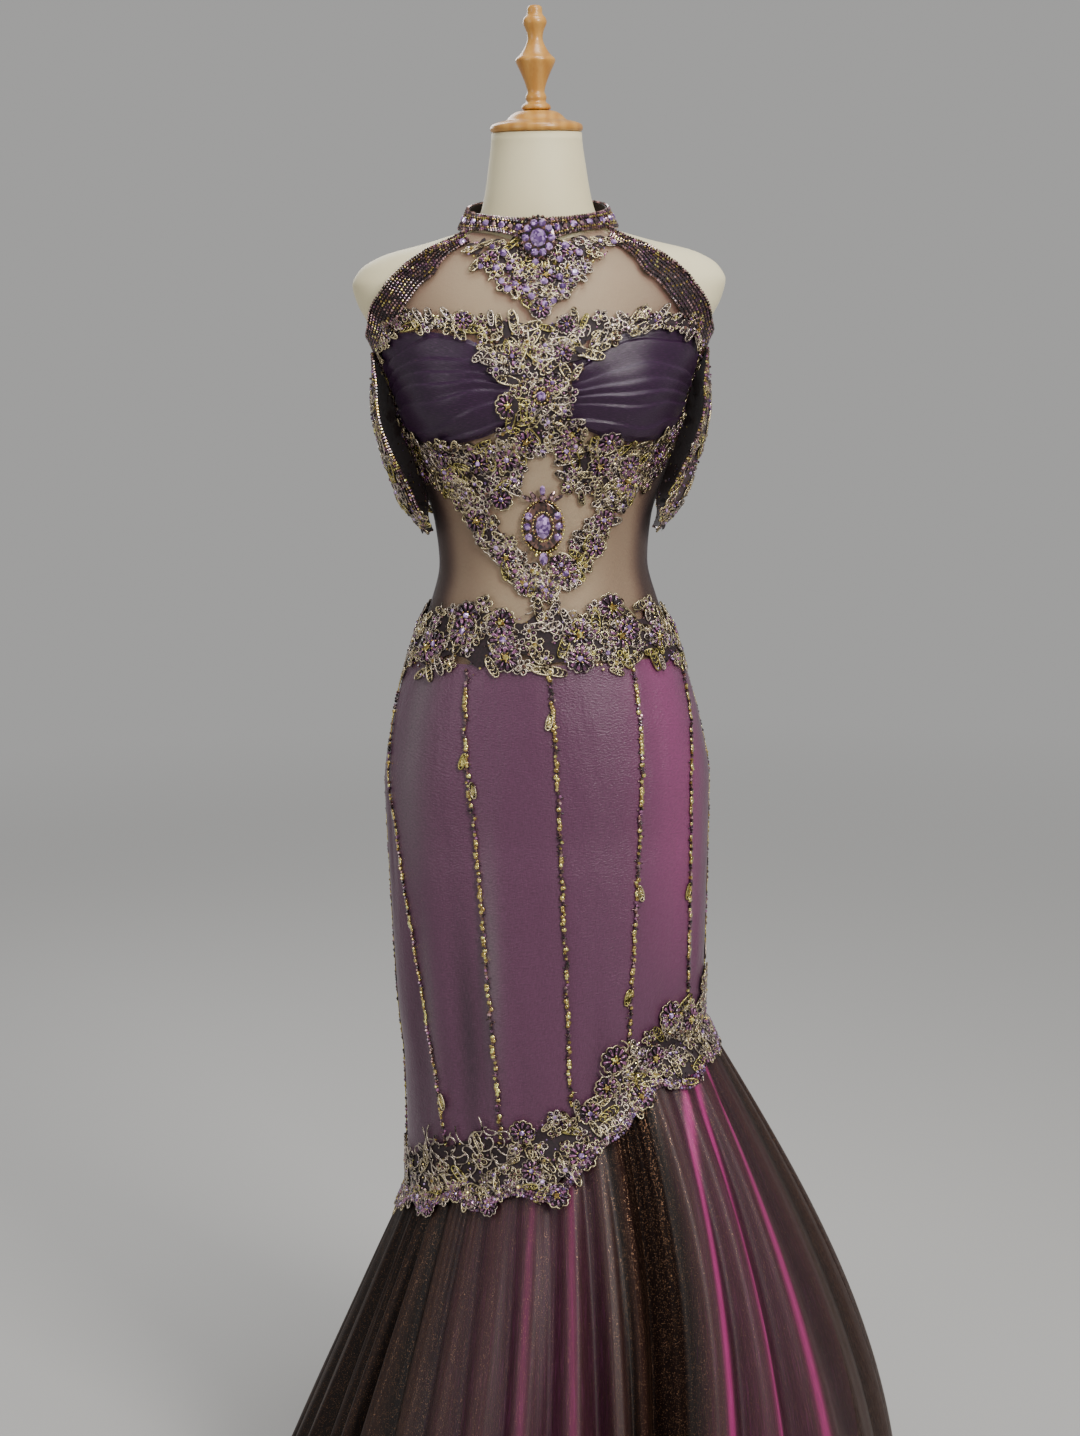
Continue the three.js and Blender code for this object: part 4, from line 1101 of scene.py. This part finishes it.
def make_sleeves(rng):
    for name, side in (("left", -1), ("right", 1)):
        places = sleeve_surface(side)
        uu, vv = grid(np.linspace(0, 1, 49), np.linspace(0, 1, 70))
        angle, z, off = places(uu, vv)
        ripple = 0.8 * np.sin(9 * vv + 5 * uu) * np.sin(np.pi * vv)
        net = cloth(f"sleeve_{name}_net", lift(body, angle, z, off + 0.8 + ripple), SLEEVE_NET,
                    [f"sleeve_{name}"], tints={"shadow": 0.25 + 0.3 * np.abs(2 * uu - 1)})
        _, zs, offs = places(np.zeros(60), np.linspace(0, 1, 60))
        ground = Ground(body, lambda a, h, zs=zs, offs=offs: np.interp(h, zs, offs) + 1.2)
        pile = Pile()
        zone = Zone(lambda a, b, places=places: places(0.5 + 0.5 * b, a)[:2], ground)
        for across in (-1.0, -0.93, -0.86, 1.0, 0.93):
            edge_beads(pile, zone, across, rng, 2.9, 1.5, (bronze, purple, rose, gilt))
        for along in (0.0, 0.012):
            a, h, _ = places(np.linspace(0, 1, 12), np.full(12, along))
            crumbs(pile, ground, a, h, rng, (1.2, 1.8), (bronze, rose))
        fill_lace(pile, zone, rng, medium=7, leaves=12, scrolls=14, beads=160,
                  along=(0.04, 0.9), across=(-1, -0.3))
        fill_lace(pile, zone, rng, medium=5, leaves=8, scrolls=10, beads=90,
                  along=(0.06, 0.9), across=(0.4, 1))
        pile.make(f"sleeve_{name}_beads")


def make_collar(rng):
    uu, vv = grid(np.linspace(-179.7, 179.7, 200), np.linspace(0, 1, 9))
    outer = collar_point(uu, vv, 1.6 + 0.8 * np.sin(np.pi * vv))
    inner = collar_point(uu, vv, 0.2)
    points = np.concatenate([outer, inner[:, ::-1]], axis=1)
    make_object("collar_band", points.reshape(-1, 3), grid_faces(200, 18), [BACKING_AND_SHADE], ["collar"])
    pile = Pile()

    def surface(angle, z):
        share = (z - collar_low(angle)) / (collar_top(angle) - collar_low(angle))
        return collar_point(angle, share, 2.4)

    def places(a, b):
        angle = mix(-179, 179, a)
        return angle, mix(collar_low(angle), collar_top(angle), 0.5 + 0.5 * b)

    ground = Ground(surface, 0.0)
    zone = Zone(places, ground)
    for across, mixture in ((1.0, (bronze, rose)), (0.8, (bronze, purple)), (0.62, (bronze, gilt)),
                            (-0.6, (bronze, gilt)), (-0.8, (bronze, purple)), (-1.0, (bronze, rose))):
        edge_beads(pile, zone, across, rng, 2.9, 1.55, mixture)
    angle, z = zone.line(0.0, 9.4)
    put(pile, ground, GEM, angle[::2], z[::2], 3.9, lilac, None, 0.6, True)
    put(pile, ground, GEM, angle[1::2], z[1::2], 2.8, rose, None, 0.6, True)
    for across in (0.33, -0.33):
        angle, z = zone.line(across, 4.4)
        crumbs(pile, ground, angle, z, rng, (1.1, 1.7), (purple, gilt, rose))
    pile.make("collar_beads")
    for node, share in (("collar_button_upper", 0.74), ("collar_button_lower", 0.26)):
        pile = Pile()
        z = mix(collar_low(180.0), collar_top(180.0), share)
        put(pile, Ground(surface, 1.0), GEM, 180, z, 4.4, lilac, None, 0.2, True)
        pile.make(node + "_stone", [node])


def make_halter(rng):
    rows = np.column_stack([np.arange(len(HALTER_BAND)), HALTER_BAND])
    outer_a, outer_z, inner_a, inner_z = (curve(rows, k) for k in (1, 2, 3, 4))
    last = len(HALTER_BAND) - 1
    for name, side in (("left", -1), ("right", 1)):
        def places(a, b, side=side):
            along, share = np.asarray(a) * last, 0.5 + 0.5 * np.asarray(b)
            angle = mix(inner_a(along), outer_a(along), share)
            return side * angle, mix(inner_z(along), outer_z(along), share)

        uu, vv = grid(np.linspace(0, 1, 140), np.linspace(-1, 1, 9))
        angle, z = places(uu, vv)
        crown = 1 - vv**2
        height = 3.0 + 1.6 * smooth(0.4, 0.6, uu)
        top = lift(body, angle, z, height + 0.7 * crown)
        low = lift(body, angle, z, height - 0.6)
        points = np.concatenate([top, low[:, ::-1]], axis=1)
        make_object(f"halter_{name}_band", points.reshape(-1, 3), grid_faces(140, 18), [BACKING_AND_SHADE],
                    [f"halter_{name}"])
        pile = Pile()
        ground = Ground(body, lambda a, h: 3.6 + 1.6 * smooth(84, 100, np.abs(turn(0, a))))
        zone = Zone(places, ground)
        for across in np.linspace(-1, 1, 9):
            edge = abs(across) > 0.9
            edge_beads(pile, zone, across, rng, 2.9, 1.75 if edge else 1.4,
                       (bronze, rose) if edge else (bronze, gilt, purple, rose, bronze))
        pile.make(f"halter_{name}_beads")


# The appliques on the bodice


def on_front(angle, z):
    """How far lace lies off the body: over the cups it rides on their pleats."""
    along = (np.abs(turn(0, angle)) - CUP["inner"]) / (CUP["outer"] - CUP["inner"])
    inside = (along > 0) & (along < 1) & (z > cup_low(along) - 3) & (z < cup_high(along) + 3)
    return np.where(inside, ON_CUP, ON_NET)


def strip(table, ground, side=1):
    """A zone along a path: rows of angle, height and half the width in millimetres of height."""
    table = np.array(table, float)
    rows = np.column_stack([np.linspace(0, 1, len(table)), table])
    angle_at, z_at, half_at = (curve(rows, k) for k in (1, 2, 3))
    return Zone(lambda a, b: (side * angle_at(a), z_at(a) + b * half_at(a)), ground)


def column(table, ground):
    """A zone down the centre front: rows of height and half the width."""
    table = np.array(table, float)
    rows = np.column_stack([np.linspace(0, 1, len(table)), table])
    z_at, half_at = (curve(rows, k) for k in (1, 2))

    def places(a, b):
        z = z_at(a)
        reach = b * half_at(a)
        arm = form_half(z)
        return np.arcsin(np.clip(reach / arm, -1, 1)) / DEG, z

    return Zone(places, ground)


def make_bodice_lace(rng):
    ground = Ground(body, on_front)
    top = Pile()
    zone = strip([(-80, 1318, 9), (-66, 1340, 9), (-45, 1357, 8), (-22, 1352, 12), (0, 1341, 18),
                  (22, 1350, 12), (45, 1355, 8), (66, 1340, 9), (80, 1318, 9)], ground)
    fill_lace(top, zone, rng, big=5, medium=22, leaves=40, scrolls=26, beads=330, big_size=(9, 11),
              medium_size=(6, 8.5))
    for side in (-1, 1):
        rim = strip([(80, 1316, 10), (82, 1290, 9), (82, 1262, 9), (80, 1240, 12)], ground, side)
        fill_lace(top, rim, rng, medium=8, leaves=14, scrolls=14, beads=120)
    top.make("bust_top_lace", ["lace_bust_top"])

    centre = Pile()
    zone = column([(1228, 56), (1244, 44), (1262, 34), (1284, 31), (1304, 38), (1320, 56), (1336, 70)],
                  ground)
    fill_lace(centre, zone, rng, big=6, medium=18, leaves=44, scrolls=22, beads=330, big_size=(10, 13),
              medium_size=(7, 9.5))
    put(centre, ground, GEM, 0, CENTRE_STONE, 5, lilac, None, 3.0, True)
    for radius, slot in ((7.5, gilt), (10.5, purple)):
        angle, z = ground.spread(0, CENTRE_STONE, *ring_of(12, radius, radius))
        put(centre, ground, CRYSTAL, angle, z, 1.6, slot, None, 3.0)
    centre.make("bust_centre_lace", ["lace_bust_centre"])

    for name, side in (("left", -1), ("right", 1)):
        under = Pile()
        zone = strip([(9, 1216, 20), (22, 1208, 30), (42, 1208, 30), (60, 1216, 27), (76, 1236, 20),
                      (82, 1256, 12)], ground, side)
        fill_lace(under, zone, rng, big=6, medium=18, leaves=36, scrolls=20, beads=260, big_size=(11, 14),
                  medium_size=(7, 10))
        under.make(f"underbust_{name}_lace", [f"lace_underbust_{name}"])

    midriff = Pile()
    for side in (-1, 1):
        zone = strip([(1, 1088, 9), (10, 1102, 16), (21, 1124, 23), (31, 1152, 26), (40, 1180, 20),
                      (48, 1196, 12)], ground, side)
        fill_lace(midriff, zone, rng, big=5, medium=14, leaves=26, scrolls=14, beads=170, big_size=(11, 14),
                  medium_size=(7, 9.5))
    point = column([(1080, 10), (1092, 22), (1104, 26)], ground)
    fill_lace(midriff, point, rng, big=1, medium=5, leaves=8, scrolls=4, beads=40)
    midriff.make("midriff_lace", ["lace_midriff"])

    bib = Pile()
    zone = column([(1366, 8), (1380, 24), (1394, 40), (1408, 58), (1422, 70), (1432, 76)], ground)
    fill_lace(bib, zone, rng, big=5, medium=22, leaves=14, scrolls=14, beads=420, big_size=(10, 12),
              medium_size=(7, 10))
    angle, z, _ = zone.scatter(26, 9, rng)
    sizes, turns = rng.uniform(2.8, 4.2, len(angle)), rng.uniform(0, 3, len(angle))
    put(bib, ground, GEM, angle, z, sizes, lilac, turns, 2.2, True)
    angle, z, _ = zone.scatter(18, 8, rng)
    put(bib, ground, BALL, angle, z, 1.8, gilt, None, 2.2)
    bib.make("collar_bib_lace", ["lace_bib"])


def make_brooch(name, node, ground, middle, rows):
    """Each row: a shape, its places across and up from the middle, size, slot, height and perhaps spin."""
    pile = Pile()
    for shape, (across, up), size, slot, raised, *spin in rows:
        put(pile, ground, shape, across, middle + np.asarray(up), size, slot, *(spin or [None]), raised,
            shape is GEM)
    pile.make(name, [node])


def make_brooches():
    def on_collar(x, z):
        """The slope from the bib up over the collar."""
        return np.stack(np.broadcast_arrays(x, -(72.0 - 0.17 * (z - 1415)), z), -1)

    def on_midriff(x, z):
        return body(np.arcsin(np.clip(x / form_half(z), -1, 1)) / DEG, z)

    # a round stone, a ring of small stones, a rim of beads and four drops
    drops = np.array([-16, -6, 6, 16])
    make_brooch("collar_brooch", "brooch_collar", Ground(on_collar, 0.0), COLLAR_BROOCH, [
        (GEM, (0, 0), (8.5, 9.5, 7.0), lilac, 1.6),
        (ball(6, 20), (0, 0), (18.5, 22.0, 2.4), bronze, 0.4),
        (GEM, ring_of(10, 13, 15), 3.9, lilac, 1.6),
        (BALL, ring_of(24, 18, 21.5), 1.7, bronze, 1.0),
        (BALL, (drops, -25 - 2 * (np.abs(drops) < 10)), (2.4, 3.2, 2.4), leaf_gold, 0.6),
    ])

    # an oval stone between six small ones, leaves above and a drop below
    rows = np.array([-11, 0, 11])
    sides = [(GEM, (side * (15.5 - 0.012 * rows**2), rows), 4.0, lilac, 1.6) for side in (-1, 1)]
    leaves = [(GEM, (16.8 * math.sin(lean), 26 + 6 * math.cos(lean)), (2.6, 6.4, 3.0), rose, 1.4, [-lean])
              for lean in (-1.05, -0.55, 0.55, 1.05)]
    make_brooch("midriff_brooch", "brooch_midriff", Ground(on_midriff, 4.6), MIDRIFF_BROOCH, [
        (ball(6, 24), (0, 0), (20.0, 27.0, 2.2), bronze, 0.2),
        (GEM, (0, 0), (7.6, 12.5, 6.5), lilac, 1.6),
        (BALL, ring_of(26, 10, 15), 1.25, gilt, 2.0),
        *sides,
        (BALL, ring_of(40, 20.5, 27), 1.4, gilt, 1.0),
        *leaves,
        (GEM, (0, 29), 4.2, rose, 1.8),
        (GEM, (0, 37), (3.0, 5.4, 3.4), lilac, 1.4),
        (GEM, (0, -33), (4.2, 7.0, 4.4), lilac, 1.2),
        (BALL, ([-7, 7], -29), 2.6, gilt, 0.8),
        (BALL, ([-12, 12], -23), 2.0, leaf_gold, 0.8),
    ])


# Satin hips and their bead strands


def seam_angle(seam, up):
    top, hip, low = seam
    upper = mix(hip, top, (up - HIP_SHARE) / (1 - HIP_SHARE))
    return np.where(up > HIP_SHARE, upper, mix(low, hip, up / HIP_SHARE))


def satin_colour_and_painted_light(angle, z):
    """Purple, with a painted magenta sheen to the right, a painted grey sheen to the left, painted shade in
    the troughs and painted shade darkening the sides.
    """
    # right is a painted magenta sheen and left a painted grey sheen; shade and sides are painted shade, in
    # the dark colour.
    right = bell(turn(54, angle), 18) * smooth(600, 820, z)
    left = np.maximum.reduce([
        bell(turn(-58, angle), 10) * smooth(700, 900, z),
        bell(turn(-22, angle), 4) * bell(z - 700, 110),
        0.8 * bell(turn(-52, angle), 4) * bell(z - 620, 110),
    ])
    shade = np.maximum.reduce([
        bell(turn(-33, angle), 6) * bell(z - 610, 110),
        0.5 * bell(turn(20, angle), 6) * bell(z - 560, 60),
        0.5 * bell(turn(-62, angle), 9) * smooth(760, 600, z),
    ])
    sides = smooth(66, 88, np.abs(turn(0, angle)))
    dark = tone(38, 22, 32)
    colour = tone(88, 48, 74)
    for share, other in ((0.7 * right, tone(142, 64, 112)), (0.9 * left, tone(104, 92, 98)),
                         (0.85 * shade, dark), (0.3 * sides, dark)):
        colour = mix(colour, other, share[..., None])
    return colour


def make_hips():
    aa, vv = grid(np.arange(-90, 270, 1.5), np.linspace(0, 1, 96))
    z = mix(seam_height(aa) - 4, WAIST_SEAM, vv)
    seams = sum(bell(turn(seam_angle(seam, vv), aa), 0.9) for seam in PANEL_SEAMS)
    points = lift(fine_skirt, aa, z, SATIN_HEIGHT - 0.5 * np.minimum(seams, 1))
    panels = [f"hip_panel_{k:02d}" for k in range(1, 13)]
    # The satin's colour attribute carries its painted sheen and painted shade.
    hips = cloth("hip_satin", points, SATIN, panels, closed=True,
                 tints={"tint_and_light": satin_colour_and_painted_light(aa, z)})


def make_strands(rng):
    """Beads, sequins and bugles down each seam of the hips, with a leaf charm or two."""
    pile = Pile()
    charms = Pile()
    ground = Ground(skirt, SATIN_HEIGHT + 0.5)
    sequin = 4
    for k, seam in enumerate(PANEL_SEAMS):
        v = np.linspace(0.01, 1, 300)
        angle = seam_angle(seam, v)
        z = mix(seam_height(seam[2]) + 20, NET_LOW, v)
        run = run_along(skirt(angle, z))
        at = np.arange(0, run[-1], STRAND_SPACING)
        at = at + rng.uniform(-0.4, 0.4, len(at))
        a, h = np.interp(at, run, angle), np.interp(at, run, z)
        a = a + rng.normal(0, 0.3, len(at))
        kind = rng.choice(5, len(at), p=[0.28, 0.2, 0.2, 0.2, 0.12])
        gilded = np.sin(0.42 * np.arange(len(at)) + k) > -0.2
        kind = np.where(gilded & (kind > 1), sequin, kind)
        for number, slot in enumerate((bronze, gilt, purple, rose, gilt)):
            own = kind == number
            if number == sequin:
                wide = rng.uniform(2.5, 3.3, own.sum())
                size = np.stack([wide, wide, 0.8 + 0 * wide], 1)
                put(pile, ground, DISC, a[own], h[own], size, slot, None, 1.2)
            else:
                size = rng.uniform(1.7, 2.5, own.sum())
                put(pile, ground, CRYSTAL, a[own], h[own], size, slot, None, 0.9, True)
        spur = rng.random(len(at)) < 0.42
        spin = rng.choice([0, np.pi], spur.sum()) + rng.uniform(-0.7, 0.7, spur.sum())
        put(pile, ground, ROD, a[spur], h[spur], (4.4, 0.6, 0.6), bronze, spin, 0.8)
        for share in rng.uniform(0.12, 0.9, 1 + k % 2):
            side = rng.choice([-1, 1])
            beside, height = np.interp(share, v, angle) + side * 1.6, np.interp(share, v, z)
            lean = np.array([math.pi / 2 + 0.25 * side])
            leaf(charms, ground, [beside], [height], np.array([8.5]), lean, rng)
            put(charms, ground, ball(4, 10), beside, height, (2.6, 8.0, 0.5), leaf_gold, None, 0.9)
    pile.make("bead_strands")
    charms.make("leaf_charms")


# Lace at the waist and over the flare's seam


def belt(start, end, middle, half, scallop, ground):
    """A zone between two angles, with its middle's height and half its width by the angle."""
    depth, per_turn = scallop

    def places(a, b):
        angle = mix(start, end, a)
        waves = 1 - depth + depth * np.cos(angle * per_turn * DEG)
        return angle, middle(angle) + half(angle) * b * waves

    return Zone(places, ground)


def make_waist_lace(rng):
    def middle(angle):
        return WAIST_LACE["middle"] + WAIST_LACE["rise"] * np.cos(angle * DEG)

    def half(angle):
        return WAIST_LACE["half"]

    ground = Ground(body, ON_SATIN)
    for name, start, end, big in (("front", -90, 90, 8), ("back", 90, 270, 11)):
        pile = Pile()
        zone = belt(start, end, middle, half, (0.16, 12.5), ground)
        if name == "front":
            flowers = np.array([(-56, 1026, 15), (-40, 1042, 16.5), (-19, 1036, 15), (15.5, 1040, 16.5),
                                (36, 1036, 15), (60, 1030, 14)], float)
            daisy(pile, ground, *flowers.T, rng)
        fill_lace(pile, zone, rng, big=big, medium=38, leaves=60, scrolls=30, beads=360)
        pile.make(f"waist_{name}_lace", [f"lace_waist_{name}"])


hem_middle, hem_half = curve(HEM_LACE, 1), curve(HEM_LACE, 2)


def make_hem_lace(rng):
    ground = Ground(hem_surface, lambda angle, z: 4.6 + 1.1 * fold_depth(angle, fall_at(angle, z)))
    for name, start, end, open_part in (("front", -90, 90, (0, 0.42)), ("back", 90, 270, (0.6, 1))):
        pile = Pile()
        zone = belt(start, end, hem_middle, hem_half, (0.14, 13.3), ground)
        ground_net(pile, zone, 140, 0.86, start * 0.1)
        dense = (open_part[1], 1) if name == "front" else (0, open_part[0])
        # open scrolls of cord on the low side, over a beaded edge
        angle, z, _ = zone.scatter(76, 9.5, rng, along=open_part, across=(-0.35, 0.95))
        scroll(pile, ground, angle, z, rng.uniform(18, 30, len(angle)), any_turn(rng, angle),
               rng.choice([-1, 1], len(angle)), rng, pewter)
        fill_lace(pile, zone, rng, medium=8, leaves=6, beads=60, along=open_part, across=(-0.3, 0.8))
        fill_lace(pile, zone, rng, big=5, medium=20, leaves=14, scrolls=10, beads=400, along=open_part,
                  across=(-1, -0.42), big_size=(9, 12), medium_size=(6, 9))
        # dense flowers on the high side
        fill_lace(pile, zone, rng, big=12, medium=40, leaves=56, scrolls=34, beads=360, along=dense)
        for across in (-0.98, -0.9, -0.82):
            edge_beads(pile, zone, across, rng, 3.2, 1.8, (purple, lilac, rose, purple))
        pile.make(f"hem_{name}_lace", [f"lace_hem_{name}"])


# The flare: organza over satin


def straighten(angle, fall):
    """Folds right of the front hang straight down instead of fanning out."""
    near = bell(turn(STRAIGHTENED["angle"], angle), STRAIGHTENED["width"])
    return angle - STRAIGHTENED["by"] * near * smooth(0, 0.9, fall)


# Painted magenta glints on the organza, for the lining's highlights, where it is also more sheer: angle, its
# bend towards the seam, width, share
PAINTED_GLINTS = [
    (43, 13, 0.9, 1.0), (52.5, 9, 0.9, 0.9), (61, 8, 0.7, 0.6), (4, 3, 0.9, 0.18), (-8, 2, 1.0, 0.14),
    (128, 4, 1.2, 0.7), (170, 0, 1.0, 0.5), (215, 0, 1.2, 0.5), (250, 0, 1.0, 0.4),
]


def organza_colour_and_painted_light(seam, fall, inner):
    """Colour and sheerness by the angle at the seam, with painted light: plum where lit, painted shade in the
    troughs, the parting and on the left, and painted magenta glints; inner is 1 in the troughs between folds.
    """
    # lit paints plum light; parted, inner and left paint shade through shadow; the magenta glints are painted
    # highlights.
    lit = np.clip(bell(turn(-4, seam), 20) + bell(turn(53, seam), 13), 0, 1)
    parted = bell(turn(PARTING["angle"] - 1, seam), 7) * smooth(-0.05, 0.06, fall)
    left = smooth(18, 60, turn(seam, -5)) * smooth(150, 100, turn(seam, 0))
    shadow = np.clip(1.1 * parted + 0.8 * inner * (1 - 0.4 * lit) + 0.75 * left, 0, 0.98)
    painted_glints = np.zeros_like(fall)
    for at, bend, width, share in PAINTED_GLINTS:
        beside = turn(at + bend * np.exp(-fall / 0.15), seam)
        painted_glints = np.maximum(painted_glints, share * bell(beside, 0.95 * width))
    tint_and_light = tone(50, 30, 24)
    for share, other in ((0.8 * lit * (0.4 + 0.6 * inner), tone(62, 24, 38)), (shadow, tone(9, 5, 5)),
                         (painted_glints, tone(236, 80, 166))):
        tint_and_light = mix(tint_and_light, other, share[..., None])
    # The sheerness is lowered in the parting and on the left, which keeps their painted shade dark.
    return {"tint_and_light": tint_and_light, "sheer": np.clip(0.8 * painted_glints + 0.1 * lit - 1.6 * parted - 0.5 * left, -1, 1)}


def make_overskirt():
    """Organza in gathered folds that wander a little on the way down."""
    ee, ff = grid(np.linspace(0, 360, FOLDS * 18, endpoint=False), np.linspace(0, 1, 64) ** 1.15)
    seam = fold_angle(ee)
    angle = straighten(seam, ff)
    uneven = 1 + 0.34 * np.sin((13 * ee + 20) * DEG) + 0.3 * np.sin((7 * ee + 80) * DEG)
    uneven = uneven + 0.2 * np.sin(23 * ee * DEG)
    depth = fold_depth(seam, ff) * uneven
    wander = 0.7 * np.sin(7 * ee * DEG + 3.0 * ff) + 0.5 * np.sin(13 * ee * DEG + 1.5)
    phase = FOLDS * ee * DEG + wander * ff
    fold = depth * (np.sin(phase) + 0.16 * np.sin(2 * phase + 0.8) + 0.1 * np.sin(3 * phase + 2 * ff))
    gathers = 2.2 * np.sin(3 * FOLDS * ee * DEG + 5 * np.sin(11 * ee * DEG)) * ff**0.4 * np.exp(-5 * ff)
    small = 0.7 * np.sin(3.3 * phase + 9 * ff) * ff * (1 - 0.4 * ff)
    points = flare(angle, ff, seam=seam) + outward(angle, fold + gathers + small + 1.8)
    inner = np.clip(0.5 - 0.5 * fold / np.maximum(depth, 1), 0, 1)
    gores = [f"overskirt_gore_{k}" for k in range(1, 7)]
    over = cloth("overskirt_organza", points, ORGANZA, gores, closed=True,
                 tints=organza_colour_and_painted_light(seam, ff, inner))


def make_underskirt():
    """Plainer satin, which stays inside the organza's folds."""
    aa, ff = grid(np.linspace(0, 360, 240, endpoint=False), np.linspace(0, 1, 44))
    wave = 3 * ff * np.sin(12 * aa * DEG) + 2.2 * ff * np.sin(31 * aa * DEG + 2 * ff)
    inset = 1.5 * fold_depth(aa, ff) + 9 * ff + 1.2
    hung = straighten(aa, ff)
    points = flare(hung, ff, LINING_PARTING, LINING_HEM, aa) + outward(hung, 0.4 - inset - wave)
    gores = [f"underskirt_gore_{k}" for k in range(1, 5)]
    under = cloth("underskirt_satin", points, LINING, gores, closed=True)


def make_zip_pull():
    pile = Pile()
    ground = Ground(body, 2.6)
    put(pile, ground, ball(5, 10), 180, ZIP_TAB, (2.2, 6.0, 0.9), gilt, None, 0.8)
    put(pile, ground, ball(4, 10), 180, ZIP_SLIDE, (2.8, 4.2, 1.1), gilt, None, 0.8)
    pile.make("zip_pull_tab", ["zip_pull"])


# Floor, lights and camera


PALE = (0.66, 0.655, 0.645)
SURROUND = 0.6


def make_stage():
    """A pale floor that fades into an even surround some way from the stand."""
    size = 60.0
    corners = [(-size, -size, 0), (size, -size, 0), (size, size, 0), (-size, size, 0)]
    mesh = bpy.data.meshes.new("floor")
    mesh.from_pydata(corners, [], [(0, 1, 2, 3)])
    floor = bpy.data.objects.new("floor", mesh)
    bpy.context.scene.collection.objects.link(floor)
    s = Shade("pale_floor", 0.8)
    far = s.node("ShaderNodeVectorMath")
    far.operation = "LENGTH"
    s.link(s.coords.outputs["Object"], far.inputs[0])
    share = s.levels(far.outputs["Value"], 1.0, 5.0, 0.0, 1.0)
    s.colour(s.blend(share, (0.5, 0.495, 0.485, 1), (0, 0, 0, 1)))
    s.link(s.blend(share, (0, 0, 0, 1), (*PALE, 1)), s.p.inputs["Emission Color"])
    s.p.inputs["Emission Strength"].default_value = SURROUND
    s.link(s.levels(share, 0.0, 1.0, 0.4, 0.0), s.p.inputs["Specular IOR Level"])
    mesh.materials.append(s.m)
    world = bpy.data.worlds.new("studio")
    bpy.context.scene.world = world
    world.use_nodes = True
    sky = world.node_tree.nodes["Background"]
    sky.inputs["Color"].default_value = (*PALE, 1)
    sky.inputs["Strength"].default_value = SURROUND


def add_light(name, at, target, size, power, colour=(1, 1, 1)):
    light = bpy.data.lights.new(name, "AREA")
    light.shape = "RECTANGLE"
    light.size, light.size_y = size
    light.energy = power
    light.color = colour
    obj = bpy.data.objects.new(name, light)
    obj.location = at
    direction = Matrix.Translation(target).translation - obj.location
    obj.rotation_euler = direction.to_track_quat("-Z", "Y").to_euler()
    bpy.context.scene.collection.objects.link(obj)


def make_lights():
    add_light("key", (1.7, -2.4, 2.7), (0, 0, 1.0), (0.8, 1.1), 84, (1, 0.97, 0.92))
    add_light("fill", (-2.2, -2.0, 1.8), (0, 0, 0.9), (1.0, 1.6), 16, (1, 0.98, 0.96))
    add_light("top", (0.5, -0.7, 3.4), (0, 0, 1.1), (1.0, 1.0), 40)
    add_light("rim", (-0.9, 2.2, 2.4), (0, 0, 1.0), (1.0, 1.6), 30)


CAMERA = {"distance": 2.6, "height": 1.42, "tilt": 10.5, "roll": -0.94, "focal_px": 2492, "aim_px": 6.0}
PHOTO_HEIGHT = 1436
SENSOR = 36


def make_camera():
    data = bpy.data.cameras.new("camera")
    data.sensor_fit = "VERTICAL"
    data.sensor_height = SENSOR
    data.lens = CAMERA["focal_px"] * SENSOR / PHOTO_HEIGHT
    camera = bpy.data.objects.new("camera", data)
    sideways = CAMERA["aim_px"] * CAMERA["distance"] / CAMERA["focal_px"]
    camera.matrix_world = (
        Matrix.Translation((-sideways, -CAMERA["distance"], CAMERA["height"]))
        @ Matrix.Rotation((90 - CAMERA["tilt"]) * DEG, 4, "X")
        @ Matrix.Rotation(CAMERA["roll"] * DEG, 4, "Z")
    )
    bpy.context.scene.collection.objects.link(camera)
    bpy.context.scene.camera = camera


make_stage()
make_lights()
make_camera()
make_form()
make_bodice()
make_cups()
# Each lace and bead pile draws from its own seed
make_sleeves(np.random.default_rng(11))
make_collar(np.random.default_rng(12))
make_halter(np.random.default_rng(13))
make_bodice_lace(np.random.default_rng(14))
make_brooches()
make_hips()
make_strands(np.random.default_rng(15))
make_waist_lace(np.random.default_rng(16))
make_hem_lace(np.random.default_rng(17))
make_overskirt()
make_underskirt()
make_zip_pull()
